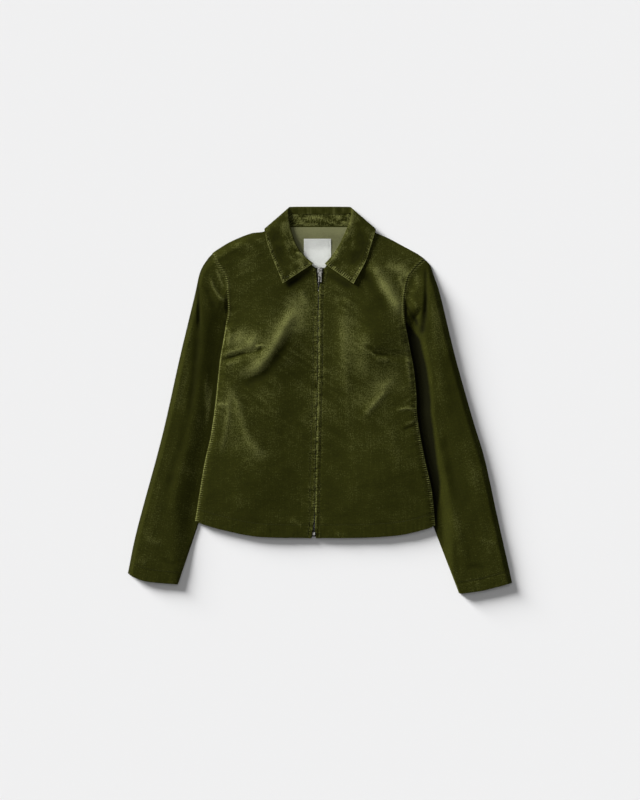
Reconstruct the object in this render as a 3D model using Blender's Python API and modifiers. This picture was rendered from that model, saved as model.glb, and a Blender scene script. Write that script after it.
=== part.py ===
"""A woman's short corduroy jacket with a centre front zip, laid flat on its back.

+X is the wearer's left, +Y points from hem to collar, +Z up from the surface that it lies on.
The origin is the middle of the jacket's outline, on that surface. Tables are in millimetres.
"""

import math

import bmesh
import bpy
import numpy as np

MM = 0.001

CLOTH = 1.4  # one thickness of corduroy with its turnings pressed in
COLLAR = 2.0  # the fall is two thicknesses of cloth, turned and pressed
LINING = 0.5
LABEL = 0.4
TAPE = 0.6
SEAM_GAP = 0.4  # plan gap between two pieces that are sewn edge to edge
LAY_GAP = 0.3  # gap between two pieces that lie on each other
STAND_GAP = 1.5  # gap along the stand's upper seam, up to double where it turns at the sides of the neck
FOLD_SPREAD = 0.7  # stand and fall part in height by twice this where both turn at the sides of the neck

FLAT_SLEEVE = 2 * CLOTH + LAY_GAP  # height of a sleeve where the body lies on it
SIDE_LIFT = FLAT_SLEEVE + 0.6  # underside of the back where it lies on a sleeve
SIDE_CLIMB = (42, 26)  # it starts to climb this far inside the sleeve's edge, over this width
SIDE_CLIMB_TOP = (208, 48)  # the y above which it lies low again, and the length of that step
NECK_LIFT = COLLAR + 1.0  # underside of the back where it lies on the turned-down collar
NECK_CLIMB = (284, 152, 34)  # the y and the distance from the middle where that begins, and the climb's width
EDGE_TOP = 2 * CLOTH + LAY_GAP  # top of the front above the back's underside along their seams
ROLL = 16.0  # the front rounds down to its seams over this width
FRONT_TOP = 8.7  # top of the front where it lies slack

ARMHOLE_STEPS = 7
SIDE_STEPS = 13
SHOULDER_STEPS = 5
NECK_STEPS = 7
BACK_NECK_STEPS = 4
UNDERARM = 0.74  # share of a panel's side edge that is side seam, the rest being armhole
NECK_POINT = 0.42  # share of a front's top edge that is neckline, the rest being shoulder

# Outlines as seen from above. Key 1 is the wearer's left, which is +X, and -1 the wearer's right.
SIDE_SEAM = {
    -1: [(-236, -230), (-219, -125), (-207, -72), (-198, -11), (-189, 74), (-183, 109), (-177, 148)],
    1: [(218, -238), (211, -171), (196, -102), (184, -35), (182, 10), (177, 60), (170, 97), (163, 135)],
}
ARMHOLE = {
    -1: [(-177, 148), (-174, 170), (-176, 205), (-178, 229), (-185, 244), (-197, 264), (-204, 278)],
    1: [(163, 135), (160, 162), (160, 191), (164, 218), (170, 237), (183, 253), (198, 267)],
}
SHOULDER = {
    -1: [(-80, 331), (-106, 319), (-132, 315), (-167, 301), (-191, 287), (-204, 278)],
    1: [(80, 331), (104, 317), (130, 306), (162, 289), (184, 277), (198, 267)],
}
NECKLINE = {
    -1: [(-9, 251), (-28, 256), (-46, 267), (-59, 285), (-69, 306), (-80, 331)],
    1: [(9, 251), (27, 256), (44, 267), (57, 285), (68, 306), (80, 331)],
}
HEM = {
    -1: [(-17, -262), (-94, -261), (-137, -257), (-196, -244), (-225, -235), (-236, -230)],
    1: [(-7, -262), (42, -262), (97, -261), (155, -256), (202, -245), (218, -238)],
}
BACK_HEM_SHORTER = 4.0
BACK_NECK = [(-80, 331), (-40, 330), (0, 330), (40, 330), (80, 331)]

# Centre front: y, x of the zip's line, half the gap between the two front edges
CENTRE_FRONT = [
    (251, 0.0, 9.0),
    (240, -0.6, 7.5),
    (226, -1.6, 4.9),
    (211, -2.8, 1.2),
    (38, -4.4, 1.0),
    (-136, -8.7, 1.0),
    (-222, -10.0, 1.2),
    (-262, -12.0, 5.0),
]

SLEEVE_OUTER = {
    -1: [
        (-204, 278), (-214, 267), (-228, 242), (-239, 194), (-266, 82), (-300, -69), (-347, -244), (-365, -329)
    ],
    1: [
        (198, 267), (209, 256), (218, 231), (229, 197), (256, 85), (289, -33), (313, -113), (336, -218), (365, -347)
    ],
}
SLEEVE_INNER = {
    -1: [
        (-177, 148), (-178, 124), (-164, 84), (-163, 20), (-179, -60), (-203, -150), (-233, -241), (-270, -350)
    ],
    1: [(163, 135), (164, 112), (151, 74), (147, 10), (161, -70), (184, -150), (217, -244), (264, -367)],
}
CUFF = {
    -1: [(-365, -329), (-352, -337), (-326, -345), (-270, -350)],
    1: [(365, -347), (336, -355), (307, -362), (272, -367), (264, -367)],
}

# Height of a sleeve's top: share of the way from armhole to cuff, height
SLEEVE_HEIGHT = [(0.0, 9.0), (0.1, 14.0), (0.3, 15.0), (0.6, 13.5), (0.9, 12.0), (1.0, 11.0)]
SLEEVE_ROLL = 12.0  # a sleeve rounds down to its outer fold over this width
SLEEVE_SLOPE = 28.0  # it comes up beside the body over this width
CAP_SLOPE = 34.0  # and above the underarm over this length
SEAM_SLOPE = 0.055  # share of its length over which it leaves the armhole seam's height
SEAM_LEVEL = (0.8, 0.25)  # share of the armhole above which seam and front are level, share that leads there

# Swells of the fronts: centre x, centre y, half width, half length, height
SWELLS = [
    (-98, 112, 56, 60, 8.5),
    (100, 108, 54, 60, 8.0),
    (-108, 212, 54, 46, 2.6),
    (104, 210, 54, 46, 3.0),
    (-112, -20, 60, 60, 2.4),
    (104, -24, 60, 60, 2.0),
    (-126, -150, 62, 70, 4.2),
    (118, -150, 60, 70, 4.0),
    (0, 300, 66, 62, -1.0),
]
# Folds and darts of the fronts: start x, y, end x, y, half width, height (below 0 is a trough)
FOLDS = [
    (-158, 60, -106, 74, 15, 2.2),
    (-106, 74, -52, 165, 15, 2.0),
    (-186, 76, -112, 97, 8, -2.0),
    (174, 80, 100, 91, 8, -1.6),
    (96, 260, 152, 173, 14, 1.8),
    (47, 190, 47, 20, 16, 1.3),
    (126, 20, 83, -29, 12, 1.2),
    (-175, 32, -114, -98, 16, 1.5),
]

# Collar at the back and round its side fold, x as on the wearer's left; on the fronts it follows the lines below.
# Neck seam x, y, stand seam x, y, roll x, y, leaf edge x, y, turn (0 lies under the back, 180 on the front)
COLLAR_BACK = [
    (0, 330.6, 0, 352.4, 0, 366.3, 0, 325, 0),
    (28, 330.6, 22, 352.5, 23, 366.3, 36, 325, 0),
    (55, 331.0, 41, 353.0, 42, 366.2, 68, 325, 0),
    (72, 331.7, 52, 354.2, 53, 366.0, 88, 325, 14),
    (79, 332.2, 57.5, 355.0, 57.6, 365.6, 98, 326, 50),
    (80.4, 332.2, 60.0, 353.0, 59.8, 363.5, 103.6, 325.6, 90),
    (76.6, 327.5, 62.5, 346.0, 61.0, 358.5, 105.0, 321, 130),
]
ROLL_LINE = {
    -1: [(-60.8, 353), (-58.7, 336.5), (-52.4, 312.7), (-44.3, 292.2), (-31, 273.6), (-13.5, 259)],
    1: [(60.0, 353), (57.0, 338), (48.6, 318), (38.4, 296), (25.2, 275.8), (9.7, 258)],
}
LEAF_EDGE = {
    -1: [(-105, 316), (-98, 292), (-87, 262), (-70.5, 221.5)],
    1: [(103.0, 314), (95.5, 290), (86.0, 262), (63.5, 220.5)],
}
INNER_LEG = 4.0  # width of the fall inside its roll, on the fronts
ROLL_BEND = 3.2  # the fall bends over within this of its roll
LEAF_COLUMNS = (0.25, 0.5, 0.75, 1.0)

# Heights of the middle of each collar layer, at the back and on the fronts
NECK_SEAM_Z = (3.7, 7.2)
STAND_SEAM_Z = (4.1, 7.6)
LEAF_Z = (COLLAR / 2, 10.4)
LEAF_LIFT = 2.1  # middle of the leaf above the front that it lies on
LEAF_TIP_LIFT = 2.4  # how much more its front edge stands off
LEAF_TIP_Y = (268, 45)  # the y where that begins, and the length over which it grows
LEAF_LANDING = 60  # the last degrees of its turn, in which the leaf comes down on the front

LINING_BOX = (-62, 62, 232, 328)  # x and y reach of the back neck lining
LABEL_BOX = (-30.5, 21, 251, 306)
LINING_RISE = 0.5  # the lining's underside above the back's inner face

SLIDER_Y = 246.0
SLIDER = (9.0, 11.0)  # width, length
SLIDER_SLOT = 1.6
SLIDER_PLATES = (0.9, 1.2)  # lower, upper thickness
SLIDER_WEDGE = (2.0, 3.0)  # width, length of the wedge that joins them
WELD = 0.3  # how deep the slider's pieces go into each other
PIVOT_RISE = 1.25  # the pull's bar above the slider's upper plate
BAR_RADIUS = 0.6
CROWN = (1.5, 6.4, 0.8)  # width, length, thickness of the bridge that holds the pull
PULL = (7.0, 23.0, 1.2)
PULL_EYE = (3.0, 3.9)  # width, length of the opening that the crown passes through
PULL_HOLE = (2.9, 8.0)  # width, length of the lower slot
ZIP_BOX = (5.0, 6.5, 2.4)
ZIP_BOX_RISE = 8.5  # its middle above the hem
TAPE_DROP = CLOTH + LAY_GAP + 0.15  # top of the tapes below the outside of the fronts' edges
TAPE_WIDTH = 14.0
TAPE_SPREAD = 1.5  # each tape's edge stands this far off the slider's wedge

COLOURS = {
    "corduroy": ((0.036, 0.041, 0.008), 0.85, 0.0),
    "lining": ((0.14, 0.15, 0.065), 0.8, 0.0),
    "label": ((0.68, 0.69, 0.66), 0.85, 0.0),
    "tape": ((0.045, 0.045, 0.015), 0.8, 0.0),
    "nickel": ((0.42, 0.4, 0.34), 0.35, 1.0),
}


def clear_scene():
    for obj in list(bpy.data.objects):
        bpy.data.objects.remove(obj, do_unlink=True)


def material(slot):
    found = bpy.data.materials.get(slot)
    if found:
        return found
    colour, roughness, metallic = COLOURS[slot]
    made = bpy.data.materials.new(slot)
    made.use_nodes = True
    shader = made.node_tree.nodes["Principled BSDF"]
    shader.inputs["Base Color"].default_value = (*colour, 1)
    shader.inputs["Roughness"].default_value = roughness
    shader.inputs["Metallic"].default_value = metallic
    return made


def add_object(name, mesh, slot):
    obj = bpy.data.objects.new(name, mesh)
    mesh.materials.append(material(slot))
    JACKET.objects.link(obj)
    return obj


def spline(points, per_span=16):
    """A dense smooth line through the points."""
    knots = np.array(points, float)
    padded = np.vstack([2 * knots[0] - knots[1], knots, 2 * knots[-1] - knots[-2]])
    t = np.linspace(0, 1, per_span, endpoint=False)[:, None]
    spans = []
    for a, b, c, d in zip(padded, padded[1:], padded[2:], padded[3:]):
        square = 2 * a - 5 * b + 4 * c - d
        cube = 3 * b - a - 3 * c + d
        spans.append(0.5 * (2 * b + (c - a) * t + square * t**2 + cube * t**3))
    return np.vstack(spans + [knots[-1:]])


def along(line, shares):
    """Points at these shares of a polyline's length."""
    line = np.asarray(line, float)
    reach = np.concatenate([[0], np.cumsum(np.linalg.norm(np.diff(line, axis=0), axis=1))])
    at = np.asarray(shares, float) * reach[-1]
    return np.stack([np.interp(at, reach, column) for column in line.T], axis=1)


def steps(points, count):
    """The smooth line through the points as count equal straight steps."""
    return along(spline(points), np.linspace(0, 1, count + 1))


def smooth(value):
    t = np.clip(value, 0, 1)
    return t * t * (3 - 2 * t)


def joined_shares(first, second, split, shares):
    """Points on two polylines end to end, the first one taking the shares up to split."""
    shares = np.asarray(shares, float)
    low = along(first, np.clip(shares / split, 0, 1))
    high = along(second, np.clip((shares - split) / (1 - split), 0, 1))
    return np.where((shares <= split)[:, None], low, high)


def two_part_shares(split, low_steps, high_steps, extra=()):
    low = np.linspace(0, split, low_steps + 1)
    high = np.linspace(split, 1, high_steps + 1)
    return np.unique(np.round(np.concatenate([low, high, extra]), 6))


def coons(low, high, start, end, across, up):
    """The patch between four boundary lines, as rows of (x, y)."""
    u = np.asarray(across)[None, :, None]
    v = np.asarray(up)[:, None, None]
    ruled = (1 - v) * low[None] + v * high[None] + (1 - u) * start[:, None] + u * end[:, None]
    corners = (1 - v) * ((1 - u) * low[0] + u * low[-1]) + v * ((1 - u) * high[0] + u * high[-1])
    return ruled - corners


def sheet(name, points, thickness, offset, slot):
    """A cloth panel: a grid moved to rows of points in millimetres, then given its thickness."""
    points = np.asarray(points, float) * MM
    rows, columns = points.shape[:2]
    mesh = bpy.data.meshes.new(name)
    bm = bmesh.new()
    bmesh.ops.create_grid(bm, x_segments=columns - 1, y_segments=rows - 1, size=0.5)
    ordered = sorted(bm.verts, key=lambda v: (round(v.co.y, 5), round(v.co.x, 5)))
    for vert, place in zip(ordered, points.reshape(-1, 3)):
        vert.co = place
    bm.normal_update()
    if sum(f.normal.z * f.calc_area() for f in bm.faces) < 0:
        bmesh.ops.reverse_faces(bm, faces=bm.faces)
    bm.to_mesh(mesh)
    bm.free()
    obj = add_object(name, mesh, slot)
    solidify = obj.modifiers.new("thickness", "SOLIDIFY")
    solidify.thickness = thickness * MM
    solidify.offset = offset
    solidify.use_quality_normals = True
    mesh.shade_smooth()
    return obj


def tube(name, outer, inner, slot):
    """A cloth tube from matching outer and inner rings, open at both ends."""
    rings = np.concatenate([outer, inner[::-1]]) * MM
    mesh = bpy.data.meshes.new(name)
    bm = bmesh.new()
    verts = [[bm.verts.new(place) for place in ring] for ring in rings]
    for ring, following in zip(verts, verts[1:] + verts[:1]):
        for k in range(len(ring)):
            m = (k + 1) % len(ring)
            bm.faces.new((ring[k], ring[m], following[m], following[k]))
    bmesh.ops.recalc_face_normals(bm, faces=bm.faces)
    bm.to_mesh(mesh)
    bm.free()
    mesh.shade_smooth()
    return add_object(name, mesh, slot)


def body_edge_x(side, y):
    """Distance of the side seam, or of the armhole above it, from the middle line at this y."""
    line = np.vstack([spline(SIDE_SEAM[side]), spline(ARMHOLE[side])[1:]])
    return np.interp(y, line[:, 1], np.abs(line[:, 0]))


def sleeve_inner_x(side, y):
    line = spline(SLEEVE_INNER[side])[::-1]
    return np.interp(y, line[:, 1], np.abs(line[:, 0]))


def back_underside(x, y):
    """The back lies on the surface, on the sleeves at its sides and on the turned-down collar at its neck."""
    lift = np.zeros_like(x)
    inset, width = SIDE_CLIMB
    top, step = SIDE_CLIMB_TOP
    for side in (-1, 1):
        on_sleeve = smooth((np.abs(x) - sleeve_inner_x(side, y) + inset) / width)
        below_armhole = smooth((top - y) / step)
        lift = np.where(x * side > 0, SIDE_LIFT * on_sleeve * below_armhole, lift)
    start_y, reach, climb = NECK_CLIMB
    on_collar = smooth((y - start_y) / climb) * smooth((reach - np.abs(x)) / climb)
    return np.maximum(lift, NECK_LIFT * on_collar)


def fold_height(x, y, start_x, start_y, end_x, end_y, half_width, height):
    """A soft ridge or trough along a line, fading out at its ends."""
    run = np.array([end_x - start_x, end_y - start_y], float)
    length = np.hypot(*run)
    run /= length
    ahead = (x - start_x) * run[0] + (y - start_y) * run[1]
    aside = (x - start_x) * run[1] - (y - start_y) * run[0]
    ends = smooth(ahead / 20 + 0.5) * smooth((length - ahead) / 20 + 0.5)
    return height * ends * np.exp(-((aside / half_width) ** 2))


def front_top(x, y):
    """Top of the fronts, before they round down to their seams."""
    z = FRONT_TOP + np.zeros_like(x)
    for centre_x, centre_y, half_width, half_length, height in SWELLS:
        z += height * np.exp(-(((x - centre_x) / half_width) ** 2) - ((y - centre_y) / half_length) ** 2)
    for fold in FOLDS:
        z += fold_height(x, y, *fold)
    return z


def centre_front_line(side, y):
    rows = np.array(CENTRE_FRONT[::-1], float)
    x = np.interp(y, rows[:, 0], rows[:, 1]) + side * np.interp(y, rows[:, 0], rows[:, 2])
    return np.stack([x, y], axis=1)


def side_edge(side, up):
    """A panel's side seam and armhole, as the same straight steps for front, back and sleeve."""
    seam = steps(SIDE_SEAM[side], SIDE_STEPS)
    armhole = steps(ARMHOLE[side], ARMHOLE_STEPS)
    return joined_shares(seam, armhole, UNDERARM, up)


def panel_rows():
    return two_part_shares(UNDERARM, SIDE_STEPS, ARMHOLE_STEPS, (1 - 0.012, 1 - 0.004))


def front_surface(side, across, up):
    """Rows of (x, y, z) on the outside of a front: across 0 is the zip, 1 the side; up 0 is the hem."""
    across, up = np.asarray(across, float), np.asarray(up, float)
    hem = along(spline(HEM[side]), across)
    neck = steps(NECKLINE[side], NECK_STEPS)
    shoulder = steps(SHOULDER[side], SHOULDER_STEPS)
    top = joined_shares(neck, shoulder, NECK_POINT, across)
    low, high = HEM[side][0][1], NECKLINE[side][0][1]
    zip_edge = centre_front_line(side, low + (high - low) * up)
    outer = side_edge(side, up)
    flat = coons(hem, top, zip_edge, outer, across, up)
    x, y = flat[..., 0], flat[..., 1]
    from_side = (1 - across)[None] * np.linalg.norm(outer - zip_edge, axis=1)[:, None]
    from_top = (1 - up)[:, None] * np.linalg.norm(top - hem, axis=1)[None]
    at_seam = smooth((UNDERARM + 0.05 - up) / 0.09)[:, None]
    at_shoulder = smooth((across - NECK_POINT) / 0.08)[None]
    rounded = np.minimum(
        1 - at_seam * (1 - np.sin(np.clip(from_side / ROLL, 0, 1) * math.pi / 2)),
        1 - at_shoulder * (1 - np.sin(np.clip(from_top / ROLL, 0, 1) * math.pi / 2)),
    )
    edge_z = back_underside(x, y) + EDGE_TOP
    return np.dstack([x, y, edge_z + (np.maximum(front_top(x, y), edge_z) - edge_z) * rounded])


def front_columns():
    return two_part_shares(NECK_POINT, NECK_STEPS, SHOULDER_STEPS, (1 - 0.064, 1 - 0.028, 1 - 0.009))


def make_front(side, name):
    return sheet(name, front_surface(side, front_columns(), panel_rows()), CLOTH, -1, "corduroy")


def make_back():
    """One panel from side seam to side seam, its outer face down."""
    shoulder = {side: steps(SHOULDER[side], SHOULDER_STEPS) for side in (-1, 1)}
    neck = steps(BACK_NECK, BACK_NECK_STEPS)
    top = np.vstack([shoulder[-1][::-1], neck[1:-1], shoulder[1]])
    top[0], top[-1] = shoulder[-1][-1], shoulder[1][-1]
    reach = np.concatenate([[0], np.cumsum(np.linalg.norm(np.diff(top, axis=0), axis=1))])
    across = reach / reach[-1]
    extra = np.array([0.055, 0.12, 0.18])
    columns = np.unique(np.round(np.concatenate([across, extra, 1 - extra]), 6))
    hem_line = np.vstack([spline(HEM[-1])[::-1], spline(HEM[1])])
    hem = along(hem_line + (0, BACK_HEM_SHORTER), columns)
    rows = panel_rows()
    left, right = side_edge(-1, rows), side_edge(1, rows)
    left[0] += (0, BACK_HEM_SHORTER)
    right[0] += (0, BACK_HEM_SHORTER)
    flat = coons(hem, along(top, columns), left, right, columns, rows)
    x, y = flat[..., 0], flat[..., 1]
    return sheet("back", np.dstack([x, y, back_underside(x, y)]), CLOTH, 1, "corduroy")


def sleeve_top(side, x, y, up, outer_gap, seam_z):
    """Height of a sleeve's upper layer: full in the open, flat where the body lies on it."""
    full = np.interp(up, *np.array(SLEEVE_HEIGHT).T)[:, None]
    outside_body = np.abs(x) - body_edge_x(side, y)
    above_underarm = y - SIDE_SEAM[side][-1][1]
    open_air = np.maximum(smooth((outside_body - 5) / SLEEVE_SLOPE), smooth((above_underarm - 8) / CAP_SLOPE))
    rounded = np.sin(np.clip(outer_gap / SLEEVE_ROLL, 0, 1) * math.pi / 2)
    height = FLAT_SLEEVE + (full - FLAT_SLEEVE) * open_air * rounded
    near_seam = 1 - smooth(up / SEAM_SLOPE)[:, None]
    height += (seam_z[None] - height) * near_seam
    return np.where(outside_body > 0, np.maximum(FLAT_SLEEVE, height), FLAT_SLEEVE)


def make_sleeve(side, name):
    """A tube from the armhole to the cuff, each ring an upper layer, two folded edges and a flat lower layer."""
    armhole = steps(ARMHOLE[side], ARMHOLE_STEPS)[::-1]
    across = np.unique(np.round(np.append(np.linspace(0, 1, ARMHOLE_STEPS + 1), (0.03, 0.08, 0.95)), 6))
    up = np.append((0, 0.02, 0.05), np.linspace(0.1, 1, 15))
    edge = along(armhole, across)
    run = np.gradient(edge, axis=0)
    outward = np.stack([run[:, 1], -run[:, 0]], axis=1) * -side
    outward /= np.linalg.norm(outward, axis=1)[:, None]
    edge = edge + outward * SEAM_GAP
    outer = along(spline(SLEEVE_OUTER[side]), up)
    inner = along(spline(SLEEVE_INNER[side]), up)
    outer[0], inner[0] = edge[0], edge[-1]
    cuff = along(spline(CUFF[side]), across)

    def plan(shares):
        low = np.stack([np.interp(shares, across, c) for c in edge.T], axis=1)
        high = np.stack([np.interp(shares, across, c) for c in cuff.T], axis=1)
        whole = np.concatenate([[0], shares, [1]])
        padded = [np.vstack([line[:1], part, line[-1:]]) for line, part in ((edge, low), (cuff, high))]
        return coons(*padded, outer, inner, whole, up)[:, 1:-1]

    widths = np.linalg.norm(outer - inner, axis=1)
    panel_up = 1 - (1 - UNDERARM) * across
    seam_z = front_surface(side, [0.0, 1.0], panel_up[::-1])[::-1, 1, 2]
    level, lead = SEAM_LEVEL
    seam_z = FLAT_SLEEVE + (seam_z - FLAT_SLEEVE) * smooth((level - across) / lead)
    outer_plan = plan(across)
    inner_shares = (across - 0.5) * (1 - 2 * CLOTH / widths.mean()) + 0.5
    inner_plan = plan(inner_shares)
    gap = across[None] * widths[:, None]
    top = sleeve_top(side, outer_plan[..., 0], outer_plan[..., 1], up, gap, seam_z)
    fold_z = FLAT_SLEEVE / 2

    def rings(flat, upper, lower):
        upper = upper.copy()
        upper[:, 0] = fold_z
        upper[:, -1] = fold_z
        over = np.dstack([flat, upper])
        under = np.dstack([flat, np.full(upper.shape, lower)])[:, -2:0:-1]
        return np.concatenate([over, under], axis=1)

    inner_top = np.maximum(top - CLOTH, CLOTH + LAY_GAP)
    return tube(name, rings(outer_plan, top, 0.0), rings(inner_plan, inner_top, CLOTH), "corduroy")


def turned(heights, turn):
    """A layer's height between its place at the back and its place on the fronts."""
    low, high = heights
    return (low + high) / 2 - (high - low) / 2 * np.cos(np.radians(turn))


def collar_stations():
    """From the wearer's right tip round the back to the left tip: neck, stand seam, roll and edge points, turn."""
    halves = {}
    for side in (-1, 1):
        back = np.array(COLLAR_BACK, float)
        back[:, 0:8:2] *= side
        shares = np.linspace(0, 1, NECK_STEPS + 1)[:-1]
        neck = steps(NECKLINE[side], NECK_STEPS)[:-1]
        roll = along(spline(ROLL_LINE[side]), 1 - shares)
        edge = along(spline(LEAF_EDGE[side]), 1 - shares)
        run = np.gradient(roll, axis=0)
        run /= np.linalg.norm(run, axis=1)[:, None]
        outward = np.stack([run[:, 1], -run[:, 0]], axis=1) * side
        seam = roll + outward * INNER_LEG
        inward = seam - neck
        inward /= np.linalg.norm(inward, axis=1)[:, None]
        turn = np.full((NECK_STEPS, 1), 180.0)
        front = np.hstack([neck + inward * 2 * SEAM_GAP, seam, roll, edge, turn])
        halves[side] = np.vstack([back, front[::-1]])
    return np.vstack([halves[-1][::-1], halves[1][1:]])


def leaf_height(x, y, turn, share):
    """Middle of the fall's outer layer: under the back, round the side fold, then lying on the front."""
    on_front = smooth(1 - (180 - turn) / LEAF_LANDING)
    start_y, growth = LEAF_TIP_Y
    tip = smooth((start_y - y) / growth) * LEAF_TIP_LIFT
    lying = front_top(x, y) + LEAF_LIFT + tip * share
    free = turned(LEAF_Z, turn)
    return free + on_front * np.maximum(lying - free, 0)


def make_fall():
    """The fall: a short leg inside the roll, the bend, then the leaf out to its edge."""
    rows = []
    for _, _, seam_x, seam_y, roll_x, roll_y, edge_x, edge_y, turn in collar_stations():
        seam, roll, edge = np.array([(seam_x, seam_y), (roll_x, roll_y), (edge_x, edge_y)])
        inner_z = turned(STAND_SEAM_Z, turn) + FOLD_SPREAD * math.sin(math.radians(turn))
        outer_z = turned(LEAF_Z, turn)
        leg = roll - seam
        bend = min(ROLL_BEND, 0.45 * np.hypot(*leg) + 0.6)
        into_leg = roll - leg / np.hypot(*leg) * bend
        into_leaf = roll + (edge - roll) / np.hypot(*(edge - roll)) * bend
        bend_z = (inner_z + outer_z) / 2
        row = [(*seam, inner_z), (*into_leg, inner_z), (*roll, bend_z), (*into_leaf, outer_z)]
        for share in LEAF_COLUMNS:
            x, y = into_leaf + (edge - into_leaf) * share
            row.append((x, y, leaf_height(x, y, turn, share)))
        rows.append(row)
    return sheet("collar_fall", rows, COLLAR, 0, "corduroy")


def make_stand():
    """A band from the neck seam to the fall's inner edge."""
    rows = []
    for neck_x, neck_y, seam_x, seam_y, roll_x, roll_y, _, _, turn in collar_stations():
        neck, seam = np.array([neck_x, neck_y]), np.array([seam_x, seam_y])
        away = seam - (roll_x, roll_y) if turn == 180 else neck - seam
        folding = math.sin(math.radians(turn))
        top = seam + away / np.hypot(*away) * STAND_GAP * (1 + folding)
        low_z, high_z = turned(NECK_SEAM_Z, turn), turned(STAND_SEAM_Z, turn) - FOLD_SPREAD * folding
        rows.append([(*(neck + (top - neck) * s), low_z + (high_z - low_z) * s) for s in (0, 0.5, 1)])
    return sheet("collar_stand", rows, CLOTH, 0, "corduroy")


def lying_patch(name, box, rise, thickness, columns, rows, slot):
    """A rectangle of thin cloth that lies on the inner face of the back."""
    x, y = np.meshgrid(np.linspace(box[0], box[1], columns), np.linspace(box[2], box[3], rows))
    z = back_underside(x, y) + CLOTH + rise
    return sheet(name, np.dstack([x, y, z]), thickness, 1, slot)


def make_tape(side, name):
    """Zip tape under a front's edge, reaching the middle of the gap."""
    up = panel_rows()
    low, high = HEM[side][0][1], NECKLINE[side][0][1]
    y = low + 3 + (high - low - 4) * up
    middle = centre_front_line(0, y)
    spread = TAPE_SPREAD * smooth((y - SLIDER_Y + 4) / 5)
    z = front_edge_z(side, y) - TAPE_DROP
    inner = np.column_stack([middle[:, 0] + side * (LAY_GAP / 2 + spread), y, z])
    outer = np.column_stack([middle[:, 0] + side * TAPE_WIDTH, y, z])
    return sheet(name, np.stack([inner, outer], axis=1), TAPE, -1, "tape")


def front_edge_z(side, y):
    """Lowest height of the front's outside near the zip at this y."""
    x = centre_front_line(0, y)[:, 0]
    return np.minimum(front_top(x, y), front_top(x + side * TAPE_WIDTH, y))


def box_mesh(bm, centre, size):
    made = bmesh.ops.create_cube(bm, size=1)["verts"]
    for vert in made:
        vert.co = [(c + s * co) * MM for c, s, co in zip(centre, size, vert.co)]


def mesh_object(name, slot, build):
    mesh = bpy.data.meshes.new(name)
    bm = bmesh.new()
    build(bm)
    bm.to_mesh(mesh)
    bm.free()
    return add_object(name, mesh, slot)


def join_with(obj, cutters, operation):
    """A Boolean for each helper, which is then left out of the build."""
    for cutter in cutters:
        JACKET.objects.unlink(cutter)
        HELPERS.objects.link(cutter)
        cutter.hide_render = True
        cutter.display_type = "WIRE"
        boolean = obj.modifiers.new(cutter.name, "BOOLEAN")
        boolean.operation = operation
        boolean.object = cutter
        boolean.solver = "EXACT"


def add_bevel(obj, width):
    bevel = obj.modifiers.new("edges", "BEVEL")
    bevel.width = width * MM
    bevel.segments = 2
    bevel.limit_method = "ANGLE"


def slider_heights():
    """Middle of the tapes, top of the upper plate and axis of the pull at the slider."""
    edge = float(front_edge_z(1, np.array([SLIDER_Y]))[0])
    tapes = edge - TAPE_DROP - TAPE / 2
    plate = tapes + SLIDER_SLOT / 2 + SLIDER_PLATES[1]
    return tapes, plate, plate + PIVOT_RISE


def make_slider():
    """Two plates round the tapes, a wedge between them and a crown that holds the pull."""
    tapes, plate, pivot = slider_heights()
    width, length = SLIDER
    lower, upper = SLIDER_PLATES
    x = float(centre_front_line(0, np.array([SLIDER_Y]))[0, 0])
    half = SLIDER_SLOT / 2
    crown_width, crown_length, crown_thick = CROWN
    crown_top = pivot + BAR_RADIUS + 0.35 + crown_thick

    def part(name, centre, size):
        return mesh_object(name, "nickel", lambda bm: box_mesh(bm, centre, size))

    body = part("zip_slider", (x, SLIDER_Y, tapes + half + upper / 2), (width, length, upper))
    add_bevel(body, 0.35)
    pieces = [part("slider_lower", (x, SLIDER_Y, tapes - half - lower / 2), (width, length, lower))]
    wedge = (*SLIDER_WEDGE, SLIDER_SLOT + 2 * WELD)
    pieces.append(part("slider_wedge", (x, SLIDER_Y + length / 2 - SLIDER_WEDGE[1] * 0.6, tapes), wedge))
    top_z = crown_top - crown_thick / 2
    pieces.append(part("slider_crown", (x, SLIDER_Y, top_z), (crown_width, crown_length, crown_thick)))
    leg_height = crown_top - plate + WELD
    for end in (-1, 1):
        place = (x, SLIDER_Y + end * (crown_length - crown_thick) / 2, plate - WELD + leg_height / 2)
        pieces.append(part(f"slider_leg_{end}", place, (crown_width - 0.1, crown_thick, leg_height)))
    join_with(body, pieces, "UNION")
    return body


def make_pull():
    """A flat tab whose cross bar turns under the slider's crown. Its origin is on the bar's axis."""
    pivot = slider_heights()[2]
    width, length, thick = PULL
    eye_width, eye_length = PULL_EYE
    x = float(centre_front_line(0, np.array([SLIDER_Y]))[0, 0])

    def slab(name, centre, size, bevel=0.0):
        made = mesh_object(name, "nickel", lambda bm: box_mesh(bm, centre, size))
        if bevel:
            add_bevel(made, bevel)
        return made

    tab = slab("zip_pull", (0, -length / 2 + BAR_RADIUS, 0), (width - 0.6, length, thick), 0.4)
    eye = slab("pull_eye", (0, -BAR_RADIUS - eye_length / 2, 0), (eye_width, eye_length, thick * 2))
    slot_width, slot_length = PULL_HOLE
    slot = slab("pull_slot", (0, -length + slot_length / 2 + 2.6, 0), (slot_width, slot_length, thick * 2), 0.9)
    join_with(tab, [eye, slot], "DIFFERENCE")
    for obj in (tab, eye, slot):
        obj.location = (x * MM, SLIDER_Y * MM, pivot * MM)
    return tab


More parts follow.
